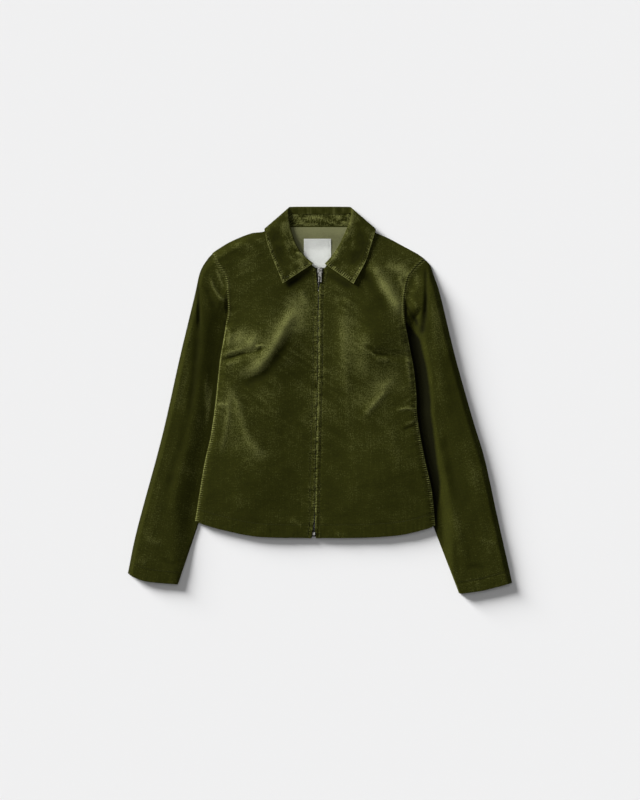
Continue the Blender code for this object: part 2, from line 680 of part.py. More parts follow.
def make_zip_box():
    y = HEM[1][0][1] + ZIP_BOX_RISE
    x = float(centre_front_line(0, np.array([y]))[0, 0])
    edges = [float(front_edge_z(side, np.array([y]))[0]) for side in (-1, 1)]
    tape_top = max(edges) - TAPE_DROP
    width, length, height = ZIP_BOX
    centre = (x, y, tape_top + LAY_GAP + height / 2)
    box = mesh_object("zip_box", "nickel", lambda bm: box_mesh(bm, centre, (width, length, height)))
    add_bevel(box, 0.5)
    return box


clear_scene()
JACKET = bpy.data.collections.new("corduroy_jacket")
HELPERS = bpy.data.collections.new("helpers")
bpy.context.scene.collection.children.link(JACKET)
bpy.context.scene.collection.children.link(HELPERS)
make_back()
for wearer_side, word in ((-1, "right"), (1, "left")):
    make_front(wearer_side, f"front_{word}")
    make_sleeve(wearer_side, f"sleeve_{word}")
    make_tape(wearer_side, f"zip_tape_{word}")
make_fall()
make_stand()
lying_patch("back_neck_lining", LINING_BOX, LINING_RISE, LINING, 7, 9, "lining")
lying_patch("neck_label", LABEL_BOX, LINING_RISE + LINING + LAY_GAP, LABEL, 4, 7, "label")
make_slider()
make_pull()
make_zip_box()
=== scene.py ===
"""Looks of a woman's short corduroy jacket with a centre front zip, laid flat on its back.

+X is the wearer's left, +Y points from hem to collar, +Z up from the surface that it lies on.
Tables and the surfaces worked out from them are in millimetres. Meshes are made in metres.
"""

import math
from functools import reduce

import bpy
import numpy as np
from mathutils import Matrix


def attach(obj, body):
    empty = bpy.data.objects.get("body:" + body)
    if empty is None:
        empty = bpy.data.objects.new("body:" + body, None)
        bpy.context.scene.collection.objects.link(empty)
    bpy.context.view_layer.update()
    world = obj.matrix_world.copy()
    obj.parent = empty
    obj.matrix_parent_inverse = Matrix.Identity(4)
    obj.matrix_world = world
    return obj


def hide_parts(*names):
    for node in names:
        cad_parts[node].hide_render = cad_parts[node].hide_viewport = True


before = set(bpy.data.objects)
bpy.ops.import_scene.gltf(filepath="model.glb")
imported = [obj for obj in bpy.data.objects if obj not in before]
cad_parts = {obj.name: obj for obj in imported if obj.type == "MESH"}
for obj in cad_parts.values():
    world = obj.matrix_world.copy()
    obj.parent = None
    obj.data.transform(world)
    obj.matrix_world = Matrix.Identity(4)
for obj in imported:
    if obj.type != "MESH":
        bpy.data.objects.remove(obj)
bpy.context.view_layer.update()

MM = 0.001

# ---------------------------------------------------------------- sizes that the frame was made from

CLOTH = 1.4
COLLAR = 2.0
TAPE = 0.6
LAY_GAP = 0.3  # between two pieces that lie on each other
FLAT_SLEEVE = 3.1  # height of a sleeve where the body lies on it
SIDE_LIFT = 3.7  # underside of the back where it lies on a sleeve
NECK_LIFT = 3.0  # underside of the back where it lies on the turned-down collar
EDGE_TOP = 3.1  # top of the front above the back's underside along their seams
ROLL = 16.0  # the front rounds down to its seams over this width
FRONT_TOP = 8.7
UNDERARM = 0.74  # share of a panel's side edge that is side seam, the rest being armhole
NECK_POINT = 0.42  # share of a front's top edge that is neckline, the rest being shoulder
BACK_HEM_SHORTER = 4.0
INNER_LEG = 4.0  # width of the fall inside its roll, on the fronts
ROLL_BEND = 3.2  # the fall bends over within this of its roll
NECK_SEAM_Z = (3.7, 7.2)  # heights of the collar's lines at the back and on the fronts
STAND_SEAM_Z = (4.1, 7.6)
LEAF_Z = (1.0, 10.4)
LEAF_LIFT = 2.1  # the leaf's middle above the front that it lies on
LEAF_TIP_LIFT = 2.4  # added at its tip
LEAF_TIP_FROM, LEAF_TIP_OVER = 268, 45  # the tip starts to lift below this y, over this length
STAND_PAST_SEAM = 0.6  # the stand reaches this far past the fall's inner edge
STAND_BELOW_FALL = 0.6
TAPE_WIDTH = 14.0

# ---------------------------------------------------------------- sizes of seams, stitching and zip

SLEEVE_LENGTH = 650
HEM_TURNING = 25.0
CUFF_TURNING = 24.0
ZIP_TOPSTITCH = 7.5  # from the front's own edge
ZIP_GROOVE = 8.5  # from the middle of the zip to the dent of that topstitching
EDGE_TOPSTITCH = 6.5  # from the leaf's outer edge
TIP_TOPSTITCH = 7.0  # from the leaf's end on the front
EDGE_BEVEL = 0.3
BEVEL_FROM = 62  # degrees
LIP = ((0.55, 0.18), (0.9, 0.5), (1.0, 1.0))  # how an edge turns over: share of its reach, share of its drop
SIDE_ROUND = 3.0  # radius of a sleeve's two folded edges
TOOTH_PITCH = 2.6
TOOTH_BOTTOM, TOOTH_TOP = -1.2, 0.7  # from the tape's upper face
TOOTH_OUTLINE = [
    (-1.9, -0.45), (-0.2, -0.45), (0.35, -0.62), (0.85, -0.5),
    (0.85, 0.5), (0.35, 0.62), (-0.2, 0.45), (-1.9, 0.45),
]
FIRST_TOOTH_Y = -247
TEETH_APART = 1.5  # of each side from the middle, above the slider
SLIDER_Y = 246.0
SLIDER_HALF = 5.6  # no tooth is made this near the slider's middle

# ---------------------------------------------------------------- outlines

# Outlines as seen from above. Key 1 is the wearer's left, which is +X, and -1 the wearer's right.
SIDE_SEAM = {
    -1: [(-236, -230), (-219, -125), (-207, -72), (-198, -11), (-189, 74), (-183, 109), (-177, 148)],
    1: [(218, -238), (211, -171), (196, -102), (184, -35), (182, 10), (177, 60), (170, 97), (163, 135)],
}
ARMHOLE = {
    -1: [(-177, 148), (-174, 170), (-176, 205), (-178, 229), (-185, 244), (-197, 264), (-204, 278)],
    1: [(163, 135), (160, 162), (160, 191), (164, 218), (170, 237), (183, 253), (198, 267)],
}
SHOULDER = {
    -1: [(-80, 331), (-106, 319), (-132, 315), (-167, 301), (-191, 287), (-204, 278)],
    1: [(80, 331), (104, 317), (130, 306), (162, 289), (184, 277), (198, 267)],
}
NECKLINE = {
    -1: [(-9, 251), (-28, 256), (-46, 267), (-59, 285), (-69, 306), (-80, 331)],
    1: [(9, 251), (27, 256), (44, 267), (57, 285), (68, 306), (80, 331)],
}
HEM = {
    -1: [(-17, -262), (-94, -261), (-137, -257), (-196, -244), (-225, -235), (-236, -230)],
    1: [(-7, -262), (42, -262), (97, -261), (155, -256), (202, -245), (218, -238)],
}
BACK_NECK = [(-80, 331), (-40, 330), (0, 330), (40, 330), (80, 331)]

# Centre front: y, x of the zip's line, half the gap between the two front edges
CENTRE_FRONT = [
    (251, 0.0, 9.0),
    (240, -0.6, 7.5),
    (226, -1.6, 4.9),
    (211, -2.8, 1.2),
    (38, -4.4, 1.0),
    (-136, -8.7, 1.0),
    (-222, -10.0, 1.2),
    (-262, -12.0, 5.0),
]
SLEEVE_OUTER = {
    -1: [
        (-204, 278), (-214, 267), (-228, 242), (-239, 194),
        (-266, 82), (-300, -69), (-347, -244), (-365, -329),
    ],
    1: [
        (198, 267), (209, 256), (218, 231), (229, 197), (256, 85),
        (289, -33), (313, -113), (336, -218), (365, -347),
    ],
}
SLEEVE_INNER = {
    -1: [
        (-177, 148), (-178, 124), (-164, 84), (-163, 20),
        (-179, -60), (-203, -150), (-233, -241), (-270, -350),
    ],
    1: [
        (163, 135), (164, 112), (151, 74), (147, 10),
        (161, -70), (184, -150), (217, -244), (264, -367),
    ],
}
CUFF = {
    -1: [(-365, -329), (-352, -337), (-326, -345), (-270, -350)],
    1: [(365, -347), (336, -355), (307, -362), (272, -367), (264, -367)],
}
SLEEVE_ROLL = 11.0  # a sleeve rounds down to its outer edge over this width
SLEEVE_HEIGHT = [(0.0, 9.0), (0.1, 14.0), (0.3, 15.0), (0.6, 13.5), (0.9, 12.0), (1.0, 11.0)]

# Swells of the fronts: centre x, centre y, half width, half length, height
SWELLS = [
    (-98, 112, 56, 60, 8.5),
    (100, 108, 54, 60, 8.0),
    (-108, 212, 54, 46, 2.6),
    (104, 210, 54, 46, 3.0),
    (-112, -20, 60, 60, 2.4),
    (104, -24, 60, 60, 2.0),
    (-126, -150, 62, 70, 4.2),
    (118, -150, 60, 70, 4.0),
    (0, 300, 66, 62, -1.0),
]
# Largest folds of the fronts: start x, y, end x, y, half width, height (below 0 is a trough)
FOLDS = [
    (-158, 60, -106, 74, 15, 2.2),
    (-106, 74, -52, 165, 15, 2.0),
    (-186, 76, -112, 97, 8, -2.0),
    (174, 80, 100, 91, 8, -1.6),
    (96, 260, 152, 173, 14, 1.8),
    (47, 190, 47, 20, 16, 1.3),
    (126, 20, 83, -29, 12, 1.2),
    (-175, 32, -114, -98, 16, 1.5),
]
# Half of the collar behind the neck: neck seam x, y, stand seam x, y, roll x, y, leaf edge x, y, and the turn
# in degrees, 0 where the leaf lies under the back and 180 where it lies on the front
NECK, SEAM, TURNOVER, EDGE, TURN = slice(0, 2), slice(2, 4), slice(4, 6), slice(6, 8), 8
COLLAR_BACK = [
    (0, 330.6, 0, 352.4, 0, 366.3, 0, 325, 0),
    (28, 330.6, 22, 352.5, 23, 366.3, 36, 325, 0),
    (55, 331.0, 41, 353.0, 42, 366.2, 68, 325, 0),
    (72, 331.7, 52, 354.2, 53, 366.0, 88, 325, 14),
    (79, 332.2, 57.5, 355.0, 57.6, 365.6, 98, 326, 50),
    (80.4, 332.2, 60.0, 353.0, 59.8, 363.5, 103.6, 325.6, 90),
    (76.6, 327.5, 62.5, 346.0, 61.0, 358.5, 105.0, 321, 130),
]
ROLL_LINE = {
    -1: [(-60.8, 353), (-58.7, 336.5), (-52.4, 312.7), (-44.3, 292.2), (-31, 273.6), (-13.5, 259)],
    1: [(60.0, 353), (57.0, 338), (48.6, 318), (38.4, 296), (25.2, 275.8), (9.7, 258)],
}
LEAF_EDGE = {
    -1: [(-105, 316), (-98, 292), (-87, 262), (-70.5, 221.5)],
    1: [(103.0, 314), (95.5, 290), (86.0, 262), (63.5, 220.5)],
}
LINING_BOX = (-62, 62, 232, 328)
LABEL_BOX = (-30.5, 21, 251, 306)
LINING_RISE = 0.5  # above the inner face of the back
LABEL_RISE = 1.3

# ---------------------------------------------------------------- creases

# Each crease: points along its crest, half width, height (below 0 is a trough), and the tone painted on it,
# which is a painted highlight above 0 and painted shade below it
FRONT_CREASES = [
    ([(-158, 61), (-138, 52), (-118, 61), (-100, 81), (-80, 110), (-64, 144), (-46, 178)], 10, 1.5, 0.5),
    ([(-160, 44), (-136, 33), (-105, 50), (-78, 86), (-55, 125)], 9, -1.1, -0.45),
    ([(-161, 122), (-140, 112), (-120, 106)], 13, 0.9, 0.35),
    ([(-184, 76), (-168, 81), (-148, 87), (-119, 91)], 1.3, -0.9, -0.5),
    ([(-186, 86), (-165, 91), (-140, 98)], 5, 0.8, 0.35),
    ([(-180, 66), (-160, 73), (-140, 78)], 4, 0.5, 0.3),
    ([(-121, 92), (-109, 98)], 3.4, -1.3, -0.75),
    ([(-122, 100), (-112, 104), (-104, 103)], 2.4, 0.9, 0.6),
    ([(-175, 32), (-160, 0), (-152, -29), (-137, -73), (-114, -99), (-79, -105)], 8, 0.9, 0.3),
    ([(-196, -9), (-184, -8), (-172, -10)], 3.5, 0.9, 0.5),
    ([(-176, 140), (-172, 120), (-177, 100)], 4, 0.6, 0.3),
    ([(-172, 20), (-176, -40), (-188, -100)], 5, 0.8, 0.25),
    ([(-38, 212), (-30, 190), (-20, 184)], 7, 0.8, 0.3),
    ([(-60, 205), (-46, 168), (-36, 120)], 16, 0.3, 0.25),
    ([(-90, 30), (-84, -30), (-92, -110)], 14, 0.4, 0.08),
    ([(-150, -110), (-158, -160), (-150, -215)], 12, 0.5, 0.07),
    ([(96, 262), (110, 240), (128, 212), (150, 176), (158, 160)], 8.5, 1.4, 0.5),
    ([(84, 250), (100, 220), (118, 190), (130, 160)], 9, -0.9, -0.3),
    ([(122, 262), (140, 252), (170, 238)], 9, 0.7, 0.35),
    ([(150, 236), (158, 214), (161, 196)], 4, 0.6, 0.35),
    ([(98, 93), (106, 88), (118, 86), (136, 84)], 1.6, -0.9, -0.4),
    ([(94, 92), (100, 87), (108, 84)], 2.2, 0.8, 0.6),
    ([(104, 80), (118, 77), (132, 75)], 5, 0.6, 0.3),
    ([(86, 104), (94, 99), (102, 97)], 4.5, -0.8, -0.45),
    ([(47, 196), (45, 120), (49, 40), (52, -30)], 9, 0.5, 0.14),
    ([(126, 22), (112, 4), (98, -12), (82, -30)], 6, 0.9, 0.4),
    ([(143, 40), (120, 26), (104, 28)], 6, 0.5, 0.2),
    ([(144, -19), (165, -16), (184, -20)], 2.6, 0.8, 0.35),
    ([(158, -56), (170, -52), (184, -45)], 2.2, -1.0, -0.6),
    ([(160, -46), (172, -42), (184, -36)], 2.6, 0.7, 0.35),
    ([(130, -40), (140, -90), (150, -150)], 10, 0.6, 0.1),
    ([(60, -60), (66, -140), (58, -210)], 13, 0.4, 0.05),
    ([(100, 150), (84, 96), (80, 40)], 12, 0.5, 0.2),
    ([(164, 110), (168, 60), (176, 10)], 4, 0.7, 0.35),
    ([(29, -250), (38, -256)], 3, 0.6, 0.2),
    ([(-60, -225), (-30, -240)], 6, 0.5, 0.2),
]
# Broad painted highlights and painted shade, and painted shadows below the collar's leaf edges: points along
# the middle, half width, tone
FRONT_PAINTED_LIGHT = [
    ([(-160, 64), (-108, 78), (-74, 126), (-40, 172), (-12, 206)], 22, 0.36),
    # painted shadows below the front edges of the collar's two leaves
    ([(-68, 213), (-38, 231), (-10, 246)], 6, -0.6),
    ([(62, 212), (34, 229), (10, 244)], 6, -0.6),
    ([(-172, 128), (-146, 112), (-112, 104)], 20, 0.32),
    ([(-130, 190), (-90, 215), (-60, 190)], 26, -0.1),
    ([(-70, 60), (-56, 10), (-60, -50)], 24, -0.14),
    ([(108, 238), (132, 200), (154, 164)], 16, 0.3),
    ([(140, 250), (170, 240)], 12, 0.2),
    ([(50, 178), (54, 110), (60, 30)], 19, 0.14),
    ([(152, 66), (112, 24), (76, -12)], 19, 0.2),
    ([(100, 200), (98, 150), (92, 110)], 18, -0.17),
    ([(-190, 10), (-172, -40), (-146, -100), (-100, -118)], 17, 0.12),
    ([(-110, -40), (-60, -60)], 26, -0.1),
    ([(30, -40), (40, -120)], 20, -0.08),
    ([(-30, -100), (-36, -220)], 16, 0.04),
]
# Key 1 is the wearer's left sleeve, and -1 the right one
SLEEVE_CREASES = {
    -1: [
        ([(-232, 226), (-230, 190), (-230, 130)], 3.4, -1.8, -0.5),
        ([(-231, 150), (-234, 90), (-240, 30), (-250, -50)], 7, -1.3, -0.35),
        ([(-246, 170), (-256, 110), (-266, 50), (-282, -30)], 10, 0.8, 0.08),
        ([(-207, 232), (-203, 216), (-192, 198), (-180, 187)], 3.0, 1.3, 0.5),
        ([(-199, 250), (-190, 232), (-184, 212)], 2.6, 0.7, 0.35),
        ([(-214, 214), (-206, 190), (-196, 172)], 6, -1.2, -0.3),
        ([(-181, 152), (-178, 136), (-181, 112)], 3, -0.8, -0.8),
        ([(-214, 60), (-216, 20), (-214, -20)], 4, 0.7, 0.3),
        ([(-206, 30), (-210, 0), (-216, -50)], 3.5, 0.6, 0.28),
        ([(-252, -40), (-266, -100), (-290, -180)], 8, -1.0, -0.15),
        ([(-300, -150), (-316, -220), (-334, -290)], 12, 0.9, 0.08),
        ([(-262, -80), (-272, -150), (-286, -220)], 9, 0.8, 0.1),
        ([(-330, -258), (-318, -268), (-300, -272)], 5, 0.6, 0.12),
        ([(-298, -300), (-284, -310), (-270, -312)], 5, -0.8, -0.2),
        ([(-344, -300), (-330, -312)], 5, 0.6, 0.15),
    ],
    1: [
        ([(200, 258), (201, 226), (201, 190), (200, 160)], 3.4, -2.0, -0.55),
        ([(200, 178), (197, 150), (192, 122)], 6, -2.4, -0.8),
        ([(214, 210), (218, 140), (226, 60), (238, -20)], 9, 1.0, 0.1),
        ([(163, 198), (174, 190), (186, 176)], 3.0, 0.7, 0.25),
        ([(163, 180), (172, 167), (182, 150), (186, 136)], 3.2, -1.3, -0.6),
        ([(166, 214), (176, 206), (186, 204)], 3.5, 0.6, 0.2),
        ([(180, 246), (184, 226), (186, 208)], 6, 0.7, 0.22),
        ([(240, 100), (254, 40), (268, -30)], 12, -0.6, -0.1),
        ([(236, -60), (250, -130), (266, -200)], 9, -0.9, -0.12),
        ([(268, -60), (290, -140), (312, -220)], 12, 0.9, 0.08),
        ([(250, -190), (262, -250), (276, -310)], 8, 0.8, 0.08),
        ([(300, -262), (322, -270), (340, -268)], 5, 0.6, 0.12),
        ([(276, -320), (296, -316), (318, -322)], 5, -0.7, -0.2),
    ],
}
# Broad painted highlights and painted shade on the sleeves
SLEEVE_PAINTED_LIGHT = {
    -1: [
        ([(-212, 190), (-208, 110), (-216, 20)], 14, -0.14),
        ([(-250, 60), (-268, -20)], 10, 0.06),
        ([(-262, -130), (-290, -220)], 26, -0.06),
    ],
    1: [
        ([(222, 200), (230, 120), (240, 60)], 9, 0.1),
        ([(236, 60), (252, -10), (268, -90)], 12, -0.08),
        ([(258, -150), (284, -240)], 26, -0.08),
    ],
}
SLEEVE_RISE = {-1: (1, 44), 1: (12, 24)}  # how far outside the body a sleeve starts to rise, over which width
SLEEVE_FULLNESS = {-1: (0.62, 0.9), 1: (1.0, 1.0)}  # share of SLEEVE_HEIGHT, at the armhole and at the cuff
# Painted shade in the hollow between body and sleeve: y, how far it reaches from the body
HOLLOW_REACH = {
    -1: [(-262, 0), (-200, 4), (0, 7), (100, 8), (150, 5), (172, 0)],
    1: [(-240, 3), (-214, 7), (-160, 19), (-53, 28), (0, 27), (114, 23), (135, 12), (152, 0)],
}
HOLLOW_PAINTED_SHADE = {-1: 0.3, 1: 1.05}  # how much darker the painted shade makes the pile there
OUTER_EDGE_PAINTED_SHADE = {-1: 0.35, 1: 0.1}  # and the painted shade along a sleeve's outer fold
BACK_CREASES = [
    ([(-120, 230), (-60, 214), (0, 222), (70, 212), (130, 232)], 10, 0.5, 0.3),
    ([(-150, 60), (-90, 40), (-30, 52)], 9, 0.5, 0.3),
    ([(40, 20), (96, 4), (150, 30)], 9, 0.5, 0.3),
    ([(-40, -60), (-52, -140), (-46, -220)], 12, 0.4, 0.2),
    ([(60, -80), (70, -150), (62, -230)], 12, 0.4, 0.2),
    ([(-10, 190), (-4, 100), (-12, 0)], 14, 0.4, 0.2),
]
COLLAR_CREASES = [
    ([(-49, 285), (-42, 283), (-34, 286)], 2.2, -1.1, -0.6),
    ([(-46, 281), (-38, 277), (-31, 279)], 3.0, 0.8, 0.6),
    ([(-62, 350), (-66, 330), (-62, 300), (-56, 280)], 7, 0.5, 0.35),
    ([(-84, 330), (-80, 290), (-68, 250)], 10, -0.4, -0.3),
    ([(-40, 270), (-32, 256), (-26, 250)], 6, 0.5, 0.4),
    ([(60, 346), (56, 322), (46, 298)], 5, 0.3, 0.2),
    ([(82, 320), (76, 286), (60, 250)], 11, -0.4, -0.35),
    ([(36, 286), (28, 268), (18, 256)], 5, 0.4, 0.3),
]

CREASE_END = 0.22  # share of a crease's length over which it fades out
CRUSHED_WAYS = ((28, 14), (-34, 15))  # degrees of the faint wrinkles on the fronts, and each one's seed
WEARERS_SIDES = ((-1, "right"), (1, "left"))

# ---------------------------------------------------------------- lines and surfaces


def spline(points, per_span=16):
    """A dense smooth line through the points."""
    knots = np.array(points, float)
    padded = np.vstack([2 * knots[0] - knots[1], knots, 2 * knots[-1] - knots[-2]])
    t = np.linspace(0, 1, per_span, endpoint=False)[:, None]
    spans = []
    for a, b, c, d in zip(padded, padded[1:], padded[2:], padded[3:]):
        bend = (2 * a - 5 * b + 4 * c - d) * t**2 + (3 * b - a - 3 * c + d) * t**3
        spans.append(0.5 * (2 * b + (c - a) * t + bend))
    return np.vstack(spans + [knots[-1:]])


def travelled(line):
    """How far along a polyline each of its points is."""
    return np.concatenate([[0], np.cumsum(np.linalg.norm(np.diff(line, axis=0), axis=1))])


def unit(vectors):
    return vectors / np.maximum(np.linalg.norm(vectors, axis=1), 1e-6)[:, None]


def along(line, shares):
    """Points at these shares of a polyline's length."""
    line = np.asarray(line, float)
    reach = travelled(line)
    at = np.asarray(shares, float) * reach[-1]
    return np.stack([np.interp(at, reach, column) for column in line.T], axis=1)


def read_off(at, table):
    """Values of a table with two columns, straight between its rows."""
    return np.interp(at, *np.array(table, float).T)


def smooth(value):
    t = np.clip(value, 0, 1)
    return t * t * (3 - 2 * t)


def hump(distance, reach):
    """1 on a line, fading to 0 a little beyond reach from it."""
    return np.exp(-((distance / reach) ** 2))


def rolled(gap, width):
    """0 at an edge, rising to 1 over this width as a quarter of a sine wave."""
    return np.sin(np.clip(gap / width, 0, 1) * math.pi / 2)


def edge_round(gap, radius):
    """0 at a folded edge, rising to 1 a radius away from it as a quarter circle."""
    return np.sqrt(np.clip(1 - (1 - np.clip(gap / radius, 0, 1)) ** 2, 0, 1))


def joined_shares(first, second, split, shares):
    """Points on two polylines end to end, the first one taking the shares up to split."""
    low = along(first, np.clip(shares / split, 0, 1))
    high = along(second, np.clip((shares - split) / (1 - split), 0, 1))
    return np.where((shares <= split)[:, None], low, high)


def coons(low, high, start, end, across, up):
    """The patch between four boundary lines, as rows of (x, y)."""
    u = across[None, :, None]
    v = up[:, None, None]
    ruled = (1 - v) * low[None] + v * high[None] + (1 - u) * start[:, None] + u * end[:, None]
    corners = (1 - v) * ((1 - u) * low[0] + u * low[-1]) + v * ((1 - u) * high[0] + u * high[-1])
    return ruled - corners


def noise(x, y, grain, seed, size=97):
    """Smooth value noise from -1 to 1, in lumps of about this many millimetres."""
    table = np.random.default_rng(seed).uniform(-1, 1, (size, size))
    u, v = np.asarray(x) / grain, np.asarray(y) / grain
    i, j = np.floor(u).astype(int), np.floor(v).astype(int)
    s, t = smooth(u - i), smooth(v - j)
    near = table[i % size, j % size] * (1 - s) + table[(i + 1) % size, j % size] * s
    far = table[i % size, (j + 1) % size] * (1 - s) + table[(i + 1) % size, (j + 1) % size] * s
    return near * (1 - t) + far * t


def crease(x, y, points, half_width, height, tone):
    """Height and painted tone of one soft ridge or trough, a painted highlight on a ridge and painted shade
    in a trough, fading out at both ends and uneven along it.
    """
    line = spline(points, 6)
    best = np.full(x.shape, np.inf)
    share = np.zeros(x.shape)
    reach = travelled(line)
    for (ax, ay), (bx, by), start, end in zip(line, line[1:], reach, reach[1:]):
        step_x, step_y = bx - ax, by - ay
        t = np.clip(((x - ax) * step_x + (y - ay) * step_y) / (step_x**2 + step_y**2), 0, 1)
        distance = np.hypot(x - ax - t * step_x, y - ay - t * step_y)
        nearer = distance < best
        best = np.where(nearer, distance, best)
        share = np.where(nearer, (start + t * (end - start)) / reach[-1], share)
    own_seed = int(abs(line[0, 0]) * 7) + 3
    uneven = 1 + 0.3 * noise(share * reach[-1], 0 * share, 17, own_seed)
    ends = smooth(share / CREASE_END) * smooth((1 - share) / CREASE_END)
    profile = hump(best, half_width * (0.8 + 0.2 * uneven)) * (0.15 + 0.85 * ends) * uneven
    return height * profile, tone * profile


def creased(x, y, table):
    """Height and painted tone, highlight on ridges and shade in troughs, of a table's creases together."""
    heights, tones = zip(*(crease(x, y, *row) for row in table))
    return sum(heights), sum(tones)


def painted_light(x, y, table):
    """Tone of the broad painted highlights and painted shade."""
    return sum(crease(x, y, points, half_width, 0, tone)[1] for points, half_width, tone in table)


def body_edge_x(side, y):
    """Distance of the side seam, or of the armhole above it, from the middle line at this y."""
    line = np.vstack([spline(SIDE_SEAM[side]), spline(ARMHOLE[side])[1:]])
    return np.interp(y, line[:, 1], np.abs(line[:, 0]))


def sleeve_inner_x(side, y):
    """Distance of a sleeve's inner folded edge from the middle line at this y."""
    line = spline(SLEEVE_INNER[side])[::-1]
    return np.interp(y, line[:, 1], np.abs(line[:, 0]))


def back_underside(x, y):
    """The back lies on the surface, on the sleeves at its sides and on the turned-down collar at its neck."""
    lift = np.zeros_like(x)
    for side, _ in WEARERS_SIDES:
        on_sleeve = smooth((np.abs(x) - sleeve_inner_x(side, y) + 42) / 26)
        below_armhole = smooth((208 - y) / 48)
        lift = np.where(x * side > 0, SIDE_LIFT * on_sleeve * below_armhole, lift)
    on_collar = smooth((y - 284) / 34) * smooth((152 - np.abs(x)) / 34)
    return np.maximum(lift, NECK_LIFT * on_collar)


def fold_height(x, y, start_x, start_y, end_x, end_y, half_width, height):
    """One row of FOLDS: straight, and fading out over the last 10 mm at both ends."""
    run = np.array([end_x - start_x, end_y - start_y], float)
    length = np.hypot(*run)
    run /= length
    ahead = (x - start_x) * run[0] + (y - start_y) * run[1]
    aside = (x - start_x) * run[1] - (y - start_y) * run[0]
    ends = smooth(ahead / 20 + 0.5) * smooth((length - ahead) / 20 + 0.5)
    return height * ends * hump(aside, half_width)


def front_top(x, y):
    """Top of the fronts, before they round down to their seams."""
    z = FRONT_TOP + np.zeros_like(x)
    for centre_x, centre_y, half_width, half_length, height in SWELLS:
        z += height * np.exp(-(((x - centre_x) / half_width) ** 2) - ((y - centre_y) / half_length) ** 2)
    for fold in FOLDS:
        z += fold_height(x, y, *fold)
    return z


def centre_front_line(side, y):
    """A front's edge along the zip, or with side 0 the middle of the zip."""
    rows = np.array(CENTRE_FRONT[::-1], float)
    x = np.interp(y, rows[:, 0], rows[:, 1]) + side * np.interp(y, rows[:, 0], rows[:, 2])
    return np.stack([x, y], axis=1)


def side_edge(side, up):
    return joined_shares(spline(SIDE_SEAM[side]), spline(ARMHOLE[side]), UNDERARM, up)


def shares(count, *dense):
    """Even shares from 0 to 1 with some more where the surface turns quickly."""
    return np.unique(np.round(np.concatenate([np.linspace(0, 1, count), dense]), 6))


def lip(rows, outward, drop):
    """Rows of points with a few more at the end of each, turning the cloth's edge over and down."""
    run = unit(rows[:, -1, :2] - rows[:, -2, :2])
    turned_down = []
    for go, down in LIP:
        place = rows[:, -1].copy()
        place[:, :2] += run * (outward * go)[:, None]
        place[:, 2] -= drop * down
        turned_down.append(place[:, None])
    return np.concatenate([rows] + turned_down, axis=1)


# ---------------------------------------------------------------- meshes


def collection_of(name):
    made = bpy.data.collections.new(name)
    bpy.context.scene.collection.children.link(made)
    return made


def quads(rows, columns, closed=False):
    """Faces of a grid of points, joined round if it is a tube."""
    i, j = np.meshgrid(np.arange(rows - 1), np.arange(columns if closed else columns - 1), indexing="ij")
    i, j, k = i.ravel(), j.ravel(), (j.ravel() + 1) % columns
    return np.stack([i * columns + j, i * columns + k, (i + 1) * columns + k, (i + 1) * columns + j], axis=1)


def store(mesh, name, kind, values):
    attribute = mesh.attributes.new(name, kind, "POINT")
    key = "vector" if kind == "FLOAT_VECTOR" else "value"
    attribute.data.foreach_set(key, np.asarray(values, np.float32).ravel())


def mesh_piece(name, points, faces, material):
    mesh = bpy.data.meshes.new(name)
    mesh.from_pydata((np.asarray(points) * MM).tolist(), [], [tuple(map(int, face)) for face in faces])
    mesh.validate()
    mesh.shade_smooth()
    piece = bpy.data.objects.new(name, mesh)
    LOOKS.objects.link(piece)
    mesh.materials.append(material)
    return piece


def cloth_piece(name, rows, place, tone, thickness, offset, material, marks=None, closed=False):
    """A cloth shell on rows of points. place is where each point is on the flat cloth, across and along
    the wales in millimetres, and tone how light or dark it is drawn: painted highlights and shade, and the
    pile's unevenness. marks holds more of what the material reads: where stitches ruffle the pile, and the
    painted highlights and shade of a seam's puckers, with the millimetres along it."""
    count, columns = rows.shape[:2]
    faces = quads(count, columns, closed)
    points = rows.reshape(-1, 3)
    corners = points[faces[:, :3]]
    normals = np.cross(corners[:, 1] - corners[:, 0], corners[:, 2] - corners[:, 0])
    outward = corners.mean(axis=1) - points.mean(axis=0) if closed else np.array([0, 0, 1])
    if (normals * outward).sum() < 0:
        faces = faces[:, ::-1]
    piece = mesh_piece(name, points, faces, material)
    flat = np.concatenate([place.reshape(-1, 2), np.zeros((len(points), 1))], axis=1)
    store(piece.data, "cloth_place", "FLOAT_VECTOR", flat)
    store(piece.data, "pile_tone_and_painted_light", "FLOAT", tone)
    for label, values in (marks or {}).items():
        store(piece.data, label, "FLOAT", values)
    solidify = piece.modifiers.new("thickness", "SOLIDIFY")
    solidify.thickness = thickness * MM
    solidify.offset = offset
    solidify.use_quality_normals = True
    bevel = piece.modifiers.new("edges", "BEVEL")
    bevel.width = min(EDGE_BEVEL, 0.4 * thickness) * MM
    bevel.limit_method = "ANGLE"
    bevel.angle_limit = math.radians(BEVEL_FROM)
    bevel.harden_normals = True
    return piece


def finished(piece, slot, *nodes):
    """Everything that scene.py makes rides on the jacket. The slider's pull is a piece of the frame."""
    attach(piece, "jacket")
    if nodes:
        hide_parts(*nodes)
    return piece


# ---------------------------------------------------------------- panels


def seam_puckers(away, run, seed, reach=13.0, depth=0.5, pitch=4.8):
    """Short ripples across a seam, uneven in depth, dying out away from it."""
    ripple = np.sin(2 * math.pi * run / pitch + 2.4 * noise(run, 0 * run, 23, seed))
    uneven = 0.55 + 0.45 * noise(run, away, 19, seed + 1)
    lumps = noise(run, away * 0.3, 5.5, seed + 2)
    return depth * hump(away, reach) * (0.55 * ripple * uneven + 0.6 * lumps)


